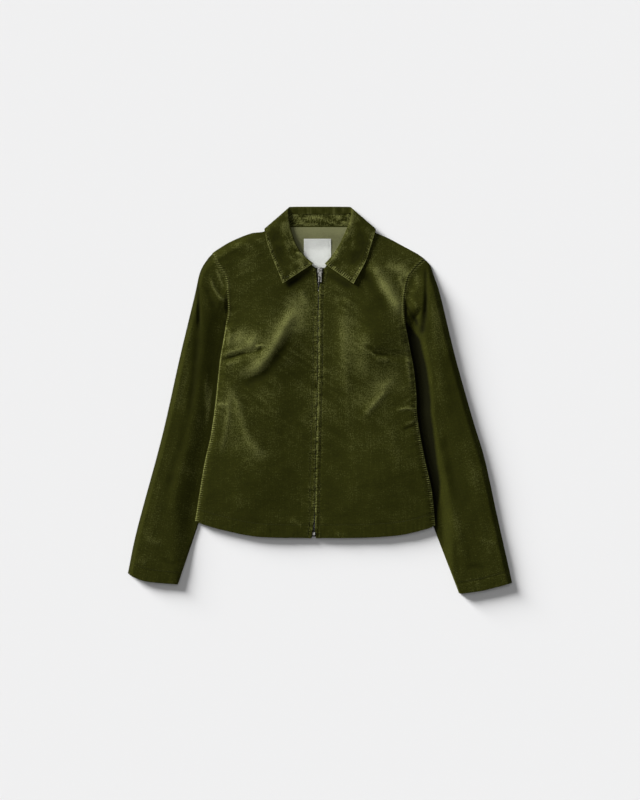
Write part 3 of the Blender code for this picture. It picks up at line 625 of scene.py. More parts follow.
def crushed_pile(x, y):
    """Faint wrinkles in two slanting directions, in patches, fewer towards the hem."""
    crushed = np.zeros_like(x)
    for degrees, seed in CRUSHED_WAYS:
        lay = math.radians(degrees)
        aside = y * math.cos(lay) - x * math.sin(lay)
        ahead = x * math.cos(lay) + y * math.sin(lay)
        crushed += noise(ahead * 0.2, aside, 6, seed) * smooth(0.5 + noise(x, y, 60, seed + 40))
    return crushed * (0.35 + 0.65 * smooth((y + 130) / 130))


def front_plan(side, across, up):
    """A front from above, the distances from its side seam and its top, and its hem."""
    hem = along(spline(HEM[side]), across)
    top = joined_shares(spline(NECKLINE[side]), spline(SHOULDER[side]), NECK_POINT, across)
    low, high = HEM[side][0][1], NECKLINE[side][0][1]
    zip_edge = centre_front_line(side, low + (high - low) * up)
    outer = side_edge(side, up)
    from_side = (1 - across)[None] * np.linalg.norm(outer - zip_edge, axis=1)[:, None]
    from_top = (1 - up)[:, None] * np.linalg.norm(top - hem, axis=1)[None]
    return coons(hem, top, zip_edge, outer, across, up), from_side, from_top, hem


def front_surface(side, across, up):
    """Rows of points on the outside of a front, what its pile does there, and where its seams are."""
    plan, from_side, from_top, hem = front_plan(side, across, up)
    x, y = plan[..., 0], plan[..., 1]
    at_seam = smooth((UNDERARM + 0.05 - up) / 0.09)[:, None]
    at_shoulder = smooth((across - NECK_POINT) / 0.08)[None]
    rounded = np.minimum(
        1 - at_seam * (1 - rolled(from_side, ROLL)), 1 - at_shoulder * (1 - rolled(from_top, ROLL))
    )
    edge_z = back_underside(x, y) + EDGE_TOP
    crease_z, tone = creased(x, y, FRONT_CREASES)
    z = front_top(x, y) + crease_z
    z += 0.34 * noise(x, y, 34, 11) + 0.22 * noise(x * 0.55, y, 13, 12) + 0.12 * noise(x * 0.4, y, 6, 13)
    crushed = crushed_pile(x, y)
    z += 0.16 * crushed
    # the band beside the zip, gathered by its topstitching
    from_zip = np.abs(x - centre_front_line(0, y[:, 0])[:, :1])
    near_zip = seam_puckers(from_zip, y + 300, 21 + side, 12.5, 1.3, 5.2)
    z += near_zip - 0.5 * hump(from_zip - ZIP_GROOVE, 1.4) + 0.35 * hump(from_zip - 4.5, 3)
    # the turning at the hem
    from_hem = y - hem[None, :, 1]
    z += seam_puckers(from_hem, x + 300, 31 + side, 27, 0.3, 7.5) - 0.4 * hump(from_hem - HEM_TURNING, 1.6)
    z = edge_z + (np.maximum(z, edge_z) - edge_z) * rounded
    # the side seam, and the roped edge of the armhole above it
    z += (seam_puckers(from_side, y + 300, 41 + side, 11, 0.9, 9.0) + 0.2) * at_seam * smooth(from_side / 2)
    roped = (1 - at_seam) * hump(from_side - 2.2, 2.2)
    z += 0.7 * roped
    # painted highlights and shade, and the pile's unevenness: lighter above 0 and darker below it
    # painted highlights and shade of the broad places, a little darker towards the hem, and painted
    # highlights on the crests of the faint wrinkles with painted shade in their dips
    tone = tone + painted_light(x, y, FRONT_PAINTED_LIGHT) - 0.1 * smooth((-30 - y) / 130) + 0.13 * crushed
    # painted highlight on the roped armhole edge, and painted highlights and shade on the puckers beside the
    # zip
    tone = tone + 0.2 * roped + 0.3 * hump(from_zip, 14) * near_zip
    patchy = 0.65 + 0.5 * noise(x, y, 11, 53)
    ruffled = hump(from_zip - 3.4, 2.8) * patchy + 0.8 * hump(from_zip - 10.5, 3.4) * patchy
    # painted highlight along the folded edge beside the zip
    tone = tone + 0.05 * ruffled + (0.25 + 0.2 * (side > 0)) * hump(from_zip - 2.2, 1.3)
    gathered = at_seam * smooth((20 - y) / 60) * hump(from_side - 2.5, 3.2)
    # painted highlight along the side seam's folded edge
    tone = tone + 0.1 * gathered + 0.55 * hump(from_side, 1.3) * at_seam
    ruffled = ruffled + 0.4 * gathered
    # painted highlights and shade of the puckers along the armhole and the gathered side seam
    pucker_light = 0.75 * (1 - at_seam) * hump(from_side - 1.2, 1.7) + (0.55 + 0.3 * (side > 0)) * gathered
    return np.dstack([x, y, z]), np.dstack([tone, ruffled, pucker_light]), at_seam[:, 0], at_shoulder[0]


FRONT_ACROSS = shares(118, 0.002, 0.005, 0.012, 0.97, 0.977, 0.985, 0.99, 0.995, 0.998)
FRONT_UP = shares(286, 0.0015, 0.004, 0.985, 0.99, 0.995, 0.998)


def make_front(side, word, material):
    """One front, its edges turned over at the side, the top and the zip. Also gives its face as rows."""
    rows, pile, at_seam, at_shoulder = front_surface(side, FRONT_ACROSS, FRONT_UP)
    more = len(LIP)
    rows = lip(rows, 0.3 + 0.9 * at_seam, 0.9 + 1.5 * at_seam)
    shoulder = np.pad(at_shoulder, (0, more), "edge")
    rows = lip(rows.transpose(1, 0, 2), 0.2 + 0.9 * shoulder, 0.6 + 1.8 * shoulder).transpose(1, 0, 2)
    even = np.ones(len(rows))
    rows = lip(rows[:, ::-1], 0.95 * even, even)[:, ::-1]
    pile = np.pad(pile, ((0, more), (more, more), (0, 0)), "edge")
    grid = rows[:, ::-1] if side < 0 else rows
    pile = pile[:, ::-1] if side < 0 else pile
    marks = {"pile_gathered": pile[..., 1], "seam_pucker_light": pile[..., 2], "seam_run": grid[..., 1]}
    name, place = f"front_{word}_cloth", grid[..., :2]
    piece = cloth_piece(name, grid, place, pile[..., 0], CLOTH - 0.1, -1, material, marks)
    return finished(piece, "corduroy", f"front_{word}"), rows[:-more, more:-more]


def make_back(material):
    """One panel from side seam to side seam, its outer face down."""
    columns, rows = shares(120), shares(170, 0.995)
    shoulders = np.vstack([spline(SHOULDER[-1])[::-1], spline(BACK_NECK)[1:-1], spline(SHOULDER[1])])
    hem = along(np.vstack([spline(HEM[-1])[::-1], spline(HEM[1])]) + (0, BACK_HEM_SHORTER), columns)
    left, right = side_edge(-1, rows), side_edge(1, rows)
    for edge in (left, right):
        edge[:, 1] += BACK_HEM_SHORTER * (1 - smooth(rows / 0.1))
    plan = coons(hem, along(shoulders, columns), left, right, columns, rows)
    x, y = plan[..., 0], plan[..., 1]
    inside = smooth((body_edge_x(1, y) - np.abs(x)) / 30) * smooth((y + 262) / 30)
    crease_z, tone = creased(x, y, BACK_CREASES)
    z = back_underside(x, y) + 0.05 + inside * (np.abs(crease_z) + 0.3 + 0.3 * noise(x, y, 30, 61))
    piece = cloth_piece("back_cloth", np.dstack([x, y, z]), plan, tone, CLOTH - 0.2, 1, material)
    return finished(piece, "corduroy", "back")


# ---------------------------------------------------------------- sleeves


def sleeve_plan(side, across, up):
    """A sleeve from above, as rows from the outer to the inner edge, and its width at each row."""
    edge = along(spline(ARMHOLE[side])[::-1], across)
    outer = along(spline(SLEEVE_OUTER[side]), up)
    inner = along(spline(SLEEVE_INNER[side]), up)
    cuff = along(spline(CUFF[side]), across)
    return coons(edge, cuff, outer, inner, across, up), np.linalg.norm(outer - inner, axis=1)


def sleeve_top(side, x, y, up, outer_gap, seam_z):
    """Height of a sleeve's upper layer: full in the open, flat where the body lies on it."""
    full = read_off(up, SLEEVE_HEIGHT)[:, None]
    outside_body = np.abs(x) - body_edge_x(side, y)
    start, slope = SLEEVE_RISE[side]
    above_underarm = y - SIDE_SEAM[side][-1][1]
    open_air = np.maximum(smooth((outside_body - start) / slope), smooth((above_underarm - 8) / 34))
    rounded = rolled(outer_gap, SLEEVE_ROLL)
    fullness = np.interp(up, (0.3, 0.9), SLEEVE_FULLNESS[side])[:, None]
    height = FLAT_SLEEVE + (full - FLAT_SLEEVE) * fullness * open_air * rounded
    crease_z, tone = creased(x, y, SLEEVE_CREASES[side])
    # painted highlights and shade of the broad places, and a little darker overall
    tone = tone + painted_light(x, y, SLEEVE_PAINTED_LIGHT[side]) - 0.06
    lumps = 0.4 * noise(x, y, 30, 71 + side) + 0.22 * noise(x, y * 0.6, 12, 73 + side)
    height += (crease_z + lumps) * open_air * rounded
    near_seam = 1 - smooth(up / 0.055)[:, None]
    height += (seam_z[None] - height) * near_seam
    free = smooth((outside_body - 1) / 5)
    reach = read_off(y, HOLLOW_REACH[side])
    # painted shade in the hollow beside the body
    hollow = HOLLOW_PAINTED_SHADE[side] * smooth((reach + 4 - outside_body) / 8) * smooth(reach / 4)
    tone = tone * np.maximum(free, near_seam) - hollow
    return np.where(outside_body > 0, np.maximum(FLAT_SLEEVE, height), FLAT_SLEEVE), tone


def make_sleeve(side, word, material):
    """A tube from the armhole to the cuff: an upper layer, two folded edges and a flat lower layer."""
    across = shares(76, 0.002, 0.006, 0.02, 0.98, 0.994, 0.998)
    up = shares(250, 0.001, 0.0025, 0.998)
    below = shares(22, 0.01, 0.03, 0.97, 0.99)[::-1]
    plan, widths = sleeve_plan(side, across, up)
    x, y = plan[..., 0], plan[..., 1]
    panel_up = 1 - (1 - UNDERARM) * across
    edge = front_surface(side, np.array([0, 0.9, 1.0]), panel_up[::-1])[0][::-1, -1, 2]
    seam_z = FLAT_SLEEVE + (edge - 0.6 - FLAT_SLEEVE) * smooth((0.8 - across) / 0.25)
    gap = across[None] * widths[:, None]
    other_gap = (1 - across)[None] * widths[:, None]
    top, tone = sleeve_top(side, x, y, up, gap, seam_z)
    from_armhole, from_cuff = up[:, None] * SLEEVE_LENGTH, (1 - up)[:, None] * SLEEVE_LENGTH
    top = top + 0.5 * hump(from_armhole - 3, 3) * (y > ARMHOLE[side][0][1] + 12)
    cuff_puckers = seam_puckers(from_cuff, x + 500, 81 + side, 22, 0.3, 8)
    top = top + cuff_puckers - 0.4 * hump(from_cuff - CUFF_TURNING, 1.6)
    middle = FLAT_SLEEVE / 2
    upper = middle + (top - middle) * edge_round(gap, SIDE_ROUND) * edge_round(other_gap, SIDE_ROUND)
    low_plan = sleeve_plan(side, below[::-1], up)[0][:, -2:0:-1]
    low_gap = np.minimum(below, 1 - below)[None, 1:-1] * widths[:, None]
    lumps = 0.25 + 0.25 * noise(low_plan[..., 0], low_plan[..., 1], 24, 91)
    lower = middle - middle * edge_round(low_gap, SIDE_ROUND) + lumps * smooth(low_gap / 12)
    lower = np.minimum(lower, middle)
    grid = np.concatenate([np.dstack([plan, upper]), np.dstack([low_plan, lower])], axis=1)
    # painted shade along the sleeve's outer fold
    shade = np.concatenate([tone - OUTER_EDGE_PAINTED_SHADE[side] * hump(gap, 5), np.zeros(lower.shape)], axis=1)
    # painted highlight along the armhole seam
    shade[:, : len(across)] += 0.2 * hump(from_armhole - 2.5, 3)
    length = unit(np.array([SLEEVE_INNER[side][-1]], float) - SLEEVE_INNER[side][2])[0]
    flat = np.concatenate([plan, low_plan], axis=1)
    place = np.dstack([flat @ (length[1], -length[0]), flat @ length])
    ruffled, pucker_light = 0 * shade, 0 * shade
    ruffled[:, : len(across)] = 0.3 * hump(from_armhole - 2.5, 3) + 0.2 * hump(from_cuff - 20, 14)
    # painted highlights and shade of the puckers along the armhole seam
    pucker_light[:, : len(across)] = 0.5 * hump(from_armhole - 1, 1.6)
    marks = {"pile_gathered": ruffled, "seam_pucker_light": pucker_light, "seam_run": flat[..., 1]}
    name = f"sleeve_{word}_cloth"
    piece = cloth_piece(name, grid, place, shade, CLOTH - 0.3, -1, material, marks, closed=True)
    return finished(piece, "corduroy", f"sleeve_{word}"), grid[:, : len(across)]


# ---------------------------------------------------------------- collar


def turned(heights, turn):
    """A layer's height between its place at the back and its place on the fronts."""
    low, high = heights
    return (low + high) / 2 - (high - low) / 2 * np.cos(np.radians(turn))


def collar_stations(front_steps=7, per_span=12):
    """Dense rows from the wearer's right tip round the back to the left tip: neck, seam, roll, edge, turn."""
    halves = {}
    for side, _ in WEARERS_SIDES:
        back = np.array(COLLAR_BACK, float)
        back[:, 0:TURN:2] *= side
        part = np.linspace(0, 1, front_steps + 1)
        neck = along(spline(NECKLINE[side]), part)[:-1]
        roll = along(spline(ROLL_LINE[side]), 1 - part[:-1])
        edge = along(spline(LEAF_EDGE[side]), 1 - part[:-1])
        run = unit(np.gradient(roll, axis=0))
        seam = roll + np.stack([run[:, 1], -run[:, 0]], axis=1) * side * INNER_LEG
        front = np.hstack([neck, seam, roll, edge, np.full((front_steps, 1), 180.0)])
        halves[side] = np.vstack([back, front[::-1]])
    dense = spline(np.vstack([halves[-1][::-1], halves[1][1:]]), per_span)
    dense[:, TURN] = np.clip(dense[:, TURN], 0, 180)
    return dense


def fall_row(station, leg, bend, leaf):
    """One section of the fall: its leg inside the roll, the bend, then the leaf out to its edge."""
    seam, roll, edge, turn = station[SEAM], station[TURNOVER], station[EDGE], station[TURN]
    inner_z, outer_z = turned(STAND_SEAM_Z, turn), turned(LEAF_Z, turn)
    into_leg = (roll - seam) / max(np.hypot(*(roll - seam)), 1e-6)
    into_leaf = (edge - roll) / np.hypot(*(edge - roll))
    reach = min(ROLL_BEND, 0.45 * np.hypot(*(roll - seam)) + 0.6)
    points = [(*(seam + (roll - into_leg * reach - seam) * s), inner_z) for s in leg]
    for angle in bend:
        back_off = reach * (1 - math.sin(angle))
        place = roll - into_leg * back_off if angle < math.pi / 2 else roll + into_leaf * back_off
        points.append((*place, (inner_z + outer_z) / 2 + (inner_z - outer_z) / 2 * math.cos(angle)))
    start = roll + into_leaf * reach
    on_front = smooth((turn - 120) / 60)
    for s in leaf:
        x, y = start + (edge - start) * s
        tip = smooth((LEAF_TIP_FROM - y) / LEAF_TIP_OVER) * LEAF_TIP_LIFT * s
        lying = float(front_top(np.array([x]), np.array([y]))[0]) + LEAF_LIFT + tip
        points.append((x, y, outer_z + on_front * max(lying - outer_z, 0) * smooth(s / 0.25)))
    return points


def make_fall(material):
    """The turned-down part of the collar. Also gives the rows of its leaf and its stations."""
    stations = collar_stations()
    leg, bend, leaf = np.linspace(0, 1, 4), np.linspace(0, math.pi, 11)[1:-1], shares(50, 0.985)
    rows = np.array([fall_row(station, leg, bend, leaf) for station in stations])
    x, y = rows[..., 0], rows[..., 1]
    on_front = smooth((stations[:, TURN] - 120) / 60)[:, None]
    share = np.concatenate([leg * 0, bend * 0, leaf])[None]
    leaf_width = np.linalg.norm(stations[:, EDGE] - stations[:, TURNOVER], axis=1)[:, None]
    from_edge = (1 - share) * leaf_width
    run = travelled(stations[:, EDGE])[:, None]
    tip = np.where(x < 0, 0, len(rows) - 1), np.arange(rows.shape[1])
    from_tip = np.hypot(x - x[tip], y - y[tip])
    crease_z, tone = creased(x, y, COLLAR_CREASES)
    topstitch = -0.35 * hump(from_edge - EDGE_TOPSTITCH, 1.1) - 0.35 * hump(from_tip - TIP_TOPSTITCH, 1.2)
    ripple = seam_puckers(from_edge - 3, run + 0 * x, 101, 4.5, 0.55, 4.4)
    ripple = ripple + seam_puckers(from_tip - 4, share * leaf_width, 102, 5.0, 0.85, 4.0)
    lumps = 0.22 * noise(x, y, 16, 103) + 0.1 * noise(x, y, 6, 104)
    on_leaf = on_front * (share > 0)
    rows[..., 2] += on_leaf * (crease_z + topstitch + ripple + lumps)
    # painted highlights along the leaf's outer edge and its tip
    tone = tone * on_front + 0.75 * on_leaf * (hump(from_edge, 1.3) + hump(from_tip, 1.3))
    ruffled = on_leaf * (hump(from_edge - 4, 4) + 1.2 * hump(from_tip - 4, 4.5))
    tone = tone + ruffled * (0.1 + 0.2 * noise(x, y, 4, 107))
    # painted highlights and shade on the ripples, and lighter along the roll
    tone = tone + 0.8 * ripple * on_front + 0.25 * hump(share, 0.06) * on_front
    tone = tone + 0.2 * noise(x, y, 9, 105)
    place = np.dstack([run + 0 * x, share * leaf_width + 20])
    # painted highlights and shade of the ripples along the leaf's edge and tip
    pucker_light = 0.3 * hump(from_edge - 4.5, 2.6) + np.where(x > 0, 0.8, 0.4) * hump(from_tip - 3.6, 3.2)
    marks = {
        "pile_gathered": 0.8 * ruffled,
        "seam_pucker_light": pucker_light * on_leaf,
        "seam_run": np.where(from_tip < from_edge, share * leaf_width, run),
    }
    piece = cloth_piece("collar_fall_cloth", rows, place, tone, COLLAR - 0.2, 0, material, marks)
    return finished(piece, "corduroy", "collar_fall"), rows[:, -len(leaf):], stations


def make_stand(material, stations):
    """A band from the neck seam to the fall's inner edge, its pile crumpled by the neck."""
    neck, seam, turn = stations[:, NECK], stations[:, SEAM], stations[:, TURN]
    at_back = smooth((60 - turn) / 50)[:, None]
    top = seam + unit(seam - neck) * STAND_PAST_SEAM * (1 + 0.6 * at_back)
    low_z, high_z = turned(NECK_SEAM_Z, turn), turned(STAND_SEAM_Z, turn) - STAND_BELOW_FALL
    s = shares(16)[None, :, None]
    plan = neck[:, None] + (top - neck)[:, None] * s
    z = low_z[:, None] + (high_z - low_z)[:, None] * s[..., 0]
    x, y = plan[..., 0], plan[..., 1]
    crumple = 0.5 * noise(x, y, 6, 111) + 0.35 * noise(x, y * 2, 9, 112)
    edges = smooth(s[..., 0] / 0.2) * smooth((1 - s[..., 0]) / 0.12)
    z = z + at_back * (0.5 + crumple) * edges * 0.8
    tone = at_back * (0.55 * noise(x * 0.6, y * 1.6, 7, 113) + 0.25) + 0 * x
    place = np.dstack([y, travelled(seam)[:, None] + 0 * x])
    marks = {"pile_gathered": 0.8 * at_back + 0 * x}
    rows = np.dstack([x, y, z])
    piece = cloth_piece("collar_stand_cloth", rows, place, tone, CLOTH - 0.2, 0, material, marks)
    return finished(piece, "corduroy", "collar_stand")


# ---------------------------------------------------------------- lining, label and zip


def lying_grid(box, rise, columns, rows, swell, seed):
    """Rows of points of a thin rectangle of cloth that lies on the inner face of the back."""
    x, y = np.meshgrid(np.linspace(box[0], box[1], columns), np.linspace(box[2], box[3], rows))
    inside = smooth((x - box[0]) / 6) * smooth((box[1] - x) / 6) * smooth((y - box[2]) / 6)
    z = back_underside(x, y) + CLOTH + rise + swell * inside * (0.5 + 0.5 * noise(x, y, 22, seed))
    return np.dstack([x, y, z])


def make_lining(material):
    rows = lying_grid(LINING_BOX, LINING_RISE, 90, 70, 0.25, 121)
    tone = 0.3 * noise(rows[..., 0] * 0.5, rows[..., 1], 18, 122)
    piece = cloth_piece("back_neck_lining_cloth", rows, rows[..., :2], tone, 0.45, 1, material)
    return finished(piece, "lining", "back_neck_lining")


def make_label(material):
    rows = lying_grid(LABEL_BOX, LABEL_RISE, 60, 64, 0.5, 131)
    piece = cloth_piece("neck_label_cloth", rows, rows[..., :2], 0 * rows[..., 0], 0.35, 1, material)
    return finished(piece, "label", "neck_label"), rows


def tape_top(side, y):
    """Height of a tape's upper face, clear under both edges of the front that covers it."""
    x = centre_front_line(0, y)[:, 0]
    front = np.minimum(front_top(x, y), front_top(x + side * TAPE_WIDTH, y))
    return front - CLOTH - LAY_GAP - 0.15


def make_tape(side, word, material):
    """A zip tape from just above the hem to the neckline, its inner edge apart above the slider."""
    y = np.linspace(HEM[1][0][1] + 3, NECKLINE[1][0][1] - 1, 170)
    middle = centre_front_line(0, y)[:, 0]
    spread = TEETH_APART * smooth((y - SLIDER_Y + 4) / 5)
    s = np.linspace(0, 1, 8)[None]
    inner = middle + side * (LAY_GAP / 2 + spread)
    x = inner[:, None] + (middle + side * TAPE_WIDTH - inner)[:, None] * s
    rows = np.dstack([x, y[:, None] + 0 * x, tape_top(side, y)[:, None] + 0 * x])
    piece = cloth_piece(f"zip_tape_{word}_cloth", rows, rows[..., :2], 0 * x, TAPE, -1, material)
    return finished(piece, "zip_tape", f"zip_tape_{word}")


def joined_rings(rings):
    """Points and faces of a closed solid through rings that have the same number of points."""
    count = len(rings[0])
    points = np.vstack(rings)
    faces = [tuple(map(int, face)) for face in quads(len(rings), count, closed=True)]
    return points, faces + [tuple(range(count))[::-1], tuple(range(len(points) - count, len(points)))]


def tooth(taper=0.82):
    """One tooth standing on its tape, a little smaller over its top quarter."""
    base = np.array(TOOTH_OUTLINE)
    middle = base.mean(axis=0)
    shoulder = TOOTH_TOP - (TOOTH_TOP - TOOTH_BOTTOM) * 0.25
    levels = [(base, TOOTH_BOTTOM), (base, shoulder), (middle + (base - middle) * taper, TOOTH_TOP)]
    return joined_rings([np.column_stack([ring, np.full(len(ring), z)]) for ring, z in levels])


def many(points, faces, places):
    """The same small shape at each place, which is the shape's own axes as rows and its middle."""
    all_points, all_faces = [], []
    for number, (axes, middle) in enumerate(places):
        all_points.append(middle + points @ axes)
        facing = -1 if np.linalg.det(axes) < 0 else 1
        all_faces += [tuple(corner + number * len(points) for corner in face[::facing]) for face in faces]
    return np.vstack(all_points), all_faces


def make_teeth(material):
    """The zip's two rows of teeth, locked below the slider and apart above it."""
    places = []
    for side, _ in WEARERS_SIDES:
        half_pitch_on = TOOTH_PITCH / 2 if side > 0 else 0
        y = np.arange(FIRST_TOOTH_Y, NECKLINE[1][0][1] - 1, TOOTH_PITCH) + half_pitch_on
        y = y[np.abs(y - SLIDER_Y) >= SLIDER_HALF]
        apart = side * TEETH_APART * smooth((y - SLIDER_Y + 2) / 3)
        middles = np.column_stack([centre_front_line(0, y)[:, 0] + apart - side * 0.25, y, tape_top(side, y)])
        turn = np.diag([-side, 1, 1])
        places += [(turn, middle) for middle in middles]
    piece = mesh_piece("zip_teeth", *many(*tooth(), places), material)
    return finished(piece, "zip_metal")


# Of a stitch: share of its length from its middle, height and size, both in thread radii
THREAD_SECTIONS = [(-0.5, -1.1, 0.5), (-0.36, 0.0, 1.0), (0.36, 0.0, 1.0), (0.5, -1.1, 0.5)]


def thread_stitch(length, radius, sides=6):
    """Points and faces of one stitch: a short thread that dips into the cloth at both ends."""
    angles = 2 * math.pi * np.arange(sides) / sides
    rings = []
    for share, dip, size in THREAD_SECTIONS:
        across, up = np.cos(angles) * size, dip + np.sin(angles) * size
        rings.append(np.column_stack([np.full(sides, share * length), across * radius, up * radius]))
    return joined_rings(rings)


def inset_line(rows, inset):
    """The line on a surface that lies this far in from the start of each of its rows."""
    made = []
    for row in rows:
        made.append([np.interp(inset, travelled(row[:, :2]), column) for column in row.T])
    return np.array(made)


def make_stitches(name, lines, material, slot, pitch=3.4, stitch=2.7, radius=0.28, rise=0.12):
    """A row of stitches along each line, joined into one piece."""
    places = []
    for line in lines:
        count = max(2, int(travelled(line)[-1] / pitch))
        ends = along(line, np.linspace(0, 1, count + 1))
        runs = unit(np.diff(ends, axis=0))
        asides = unit(np.cross((0, 0, 1), runs))
        middles = (ends[:-1] + ends[1:]) / 2 + (0, 0, rise)
        places += zip(np.stack([runs, asides, np.cross(runs, asides)], axis=1), middles)
    piece = mesh_piece(name, *many(*thread_stitch(stitch, radius), places), material)
    return finished(piece, slot)


def leaf_lines(leaf_rows, stations):
    """Topstitching of the collar's leaf on the fronts: along each end and along the outer edge beside it."""
    on_front = np.flatnonzero(stations[:, TURN] > 150)
    half = len(leaf_rows) // 2
    lines = []
    for rows in (leaf_rows[on_front[on_front < half]], leaf_rows[on_front[on_front > half]][::-1]):
        lines.append(inset_line(rows[:, ::-1], EDGE_TOPSTITCH)[6:])
        lines.append(inset_line(rows.transpose(1, 0, 2), TIP_TOPSTITCH)[2:-4])
    return [line + (0, 0, 0.9) for line in lines]


def label_lines(rows):
    """Stitching round the label: three of its sides and the one that closes them."""
    corners = [rows[2, 2], rows[-3, 2], rows[-3, -3], rows[2, -3]]
    return [np.array(pair) + (0, 0, 0.35) for pair in zip(corners, corners[1:] + corners[:1])]


# ---------------------------------------------------------------- materials


def fill(tree, socket, value):
    """Gives an input a value, or another node's output. A colour leaves out its alpha."""
    if isinstance(value, bpy.types.NodeSocket):
        tree.links.new(value, socket)
    elif socket.type == "RGBA":
        socket.default_value = (*value, 1)
    else:
        socket.default_value = value


def add(tree, kind, inputs=None, **settings):
    """A shader node with its settings, and inputs that are values or other nodes' outputs."""
    made = tree.nodes.new("ShaderNode" + kind)
    for key, value in settings.items():
        setattr(made, key, value)
    for key, value in (inputs or {}).items():
        fill(tree, made.inputs[key], value)
    return made


def maths(tree, operation, *values, clamp=False):
    made = add(tree, "Math", dict(enumerate(values)), operation=operation, use_clamp=clamp)
    return made.outputs[0]


def plus(tree, first, *more):
    return reduce(lambda a, b: maths(tree, "ADD", a, b), more, first)


def times(tree, first, *more):
    return reduce(lambda a, b: maths(tree, "MULTIPLY", a, b), more, first)


def minus(tree, first, second):
    return maths(tree, "SUBTRACT", first, second)


def mixed(tree, factor, first, second):
    """The first colour where the factor is 0 and the second where it is 1."""
    return add(tree, "Mix", {0: factor, 6: first, 7: second}, data_type="RGBA").outputs[2]


def new_group(name, inputs, outputs):
    """A node group with these sockets: the group, its inputs to read and its outputs to fill."""
    group = bpy.data.node_groups.new(name, "ShaderNodeTree")
    for label, kind in inputs:
        group.interface.new_socket(label, in_out="INPUT", socket_type="NodeSocket" + kind)
    for label, kind in outputs:
        group.interface.new_socket(label, in_out="OUTPUT", socket_type="NodeSocket" + kind)
    return group, group.nodes.new("NodeGroupInput").outputs, group.nodes.new("NodeGroupOutput").inputs


def use_group(tree, name, inputs):
    return add(tree, "Group", inputs, node_tree=GROUPS[name]).outputs


def noise_at(tree, place, scale, detail):
    return add(tree, "TexNoise", {"Vector": place, "Scale": scale, "Detail": detail}).outputs[0]


def stretched_noise(tree, place, across, along_it, detail=2.0):
    """Noise in lumps of these sizes in millimetres across and along the cloth, from 0 to 1."""
    scaled = add(tree, "VectorMath", {0: place, 1: (1 / across, 1 / along_it, 1)}, operation="MULTIPLY")
    return noise_at(tree, scaled.outputs[0], 1.0, detail)


def wale_group():
    """Rounded ribs along the cloth, and how light each rib lies."""
    group, read, give = new_group(
        "wales", [("Place", "Vector"), ("Pitch", "Float")], [("Rib", "Float"), ("Streak", "Float")]
    )
    across, down, _ = add(group, "SeparateXYZ", {0: read["Place"]}).outputs
    sway = times(group, stretched_noise(group, read["Place"], 40, 60), 3.0)
    count = maths(group, "DIVIDE", plus(group, across, sway), read["Pitch"])
    rib = maths(group, "ABSOLUTE", maths(group, "SINE", times(group, count, math.pi)))
    fill(group, give["Rib"], maths(group, "POWER", rib, 0.6))
    own_start = times(group, maths(group, "FLOOR", count), 7.31)
    spot = add(group, "CombineXYZ", {0: own_start, 1: maths(group, "DIVIDE", down, 55.0)}).outputs[0]
    fill(group, give["Streak"], noise_at(group, spot, 1.0, 1.0))
    return group


def mottle_group():
    """Broad and fine unevenness of a cloth, from -1 to 1, with a grain that runs across it."""
    group, read, give = new_group(
        "mottle",
        [("Place", "Vector"), ("Broad", "Float"), ("Fine", "Float"), ("Fleck", "Float")],
        [("Value", "Float"), ("Flecks", "Float"), ("Fuzz", "Float")],
    )
    broad = minus(group, stretched_noise(group, read["Place"], 46, 34), 0.5)
    streaks = minus(group, stretched_noise(group, read["Place"], 9, 3.0, 3.0), 0.5)
    flecks = minus(group, stretched_noise(group, read["Place"], 2.1, 2.5, 3.0), 0.5)
    parts = [(broad, "Broad"), (streaks, "Fine"), (flecks, "Fleck")]
    fill(group, give["Value"], plus(group, *(times(group, part, read[name]) for part, name in parts)))
    fill(group, give["Flecks"], flecks)
    fill(group, give["Fuzz"], stretched_noise(group, read["Place"], 0.7, 0.7))
    return group


# Towards the key light: the way of slope that the painted light by slope reads
LIGHT_SLOPE_WAY = (-0.64, 0.77, 0.0)


def painted_slope_light_group():
    """How far the cloth slopes towards its upper wearer's right, the side the key light comes from, times
    Amount: painted light and shade by slope.
    """
    group, read, give = new_group("painted_light_by_slope", [("Amount", "Float")], [("Value", "Float")])
    normal = add(group, "NewGeometry").outputs["Normal"]
    slope = add(group, "VectorMath", {0: normal, 1: LIGHT_SLOPE_WAY}, operation="DOT_PRODUCT")
    fill(group, give["Value"], times(group, slope.outputs["Value"], read["Amount"]))
    return group


def weave_group():
    """Plain weave: over and under threads of this pitch in millimetres."""
    group, read, give = new_group("weave", [("Place", "Vector"), ("Pitch", "Float")], [("Height", "Float")])
    parts = add(group, "SeparateXYZ", {0: read["Place"]}).outputs
    turns = [times(group, maths(group, "DIVIDE", part, read["Pitch"]), math.pi) for part in parts[:2]]
    fill(group, give["Height"], times(group, *(maths(group, "SINE", turn) for turn in turns)))
    return group


def new_material(name, settings):
    material = bpy.data.materials.new(name)
    material.use_nodes = True
    tree = material.node_tree
    shader = tree.nodes["Principled BSDF"]
    for key, value in settings.items():
        fill(tree, shader.inputs[key], value)
    return material, tree, shader


def surface(tree, shader, colour, height, depth, strength=1.0):
    """Gives the shader its colour and its bump, whose depth is in millimetres."""
    bump = add(tree, "Bump", {"Height": height, "Distance": depth * MM, "Strength": strength})
    fill(tree, shader.inputs["Base Color"], colour)
    fill(tree, shader.inputs["Normal"], bump.outputs[0])


def cloth_place(tree):
    return add(tree, "Attribute", attribute_name="cloth_place").outputs["Vector"]


def stored(tree, name):
    return add(tree, "Attribute", attribute_name=name).outputs["Fac"]


WALE_PITCH = 1.9
PUCKER_LIGHT_PITCH = 4.1  # of the stitches that pull a seam in, and of the painted highlights and shade of the puckers between them
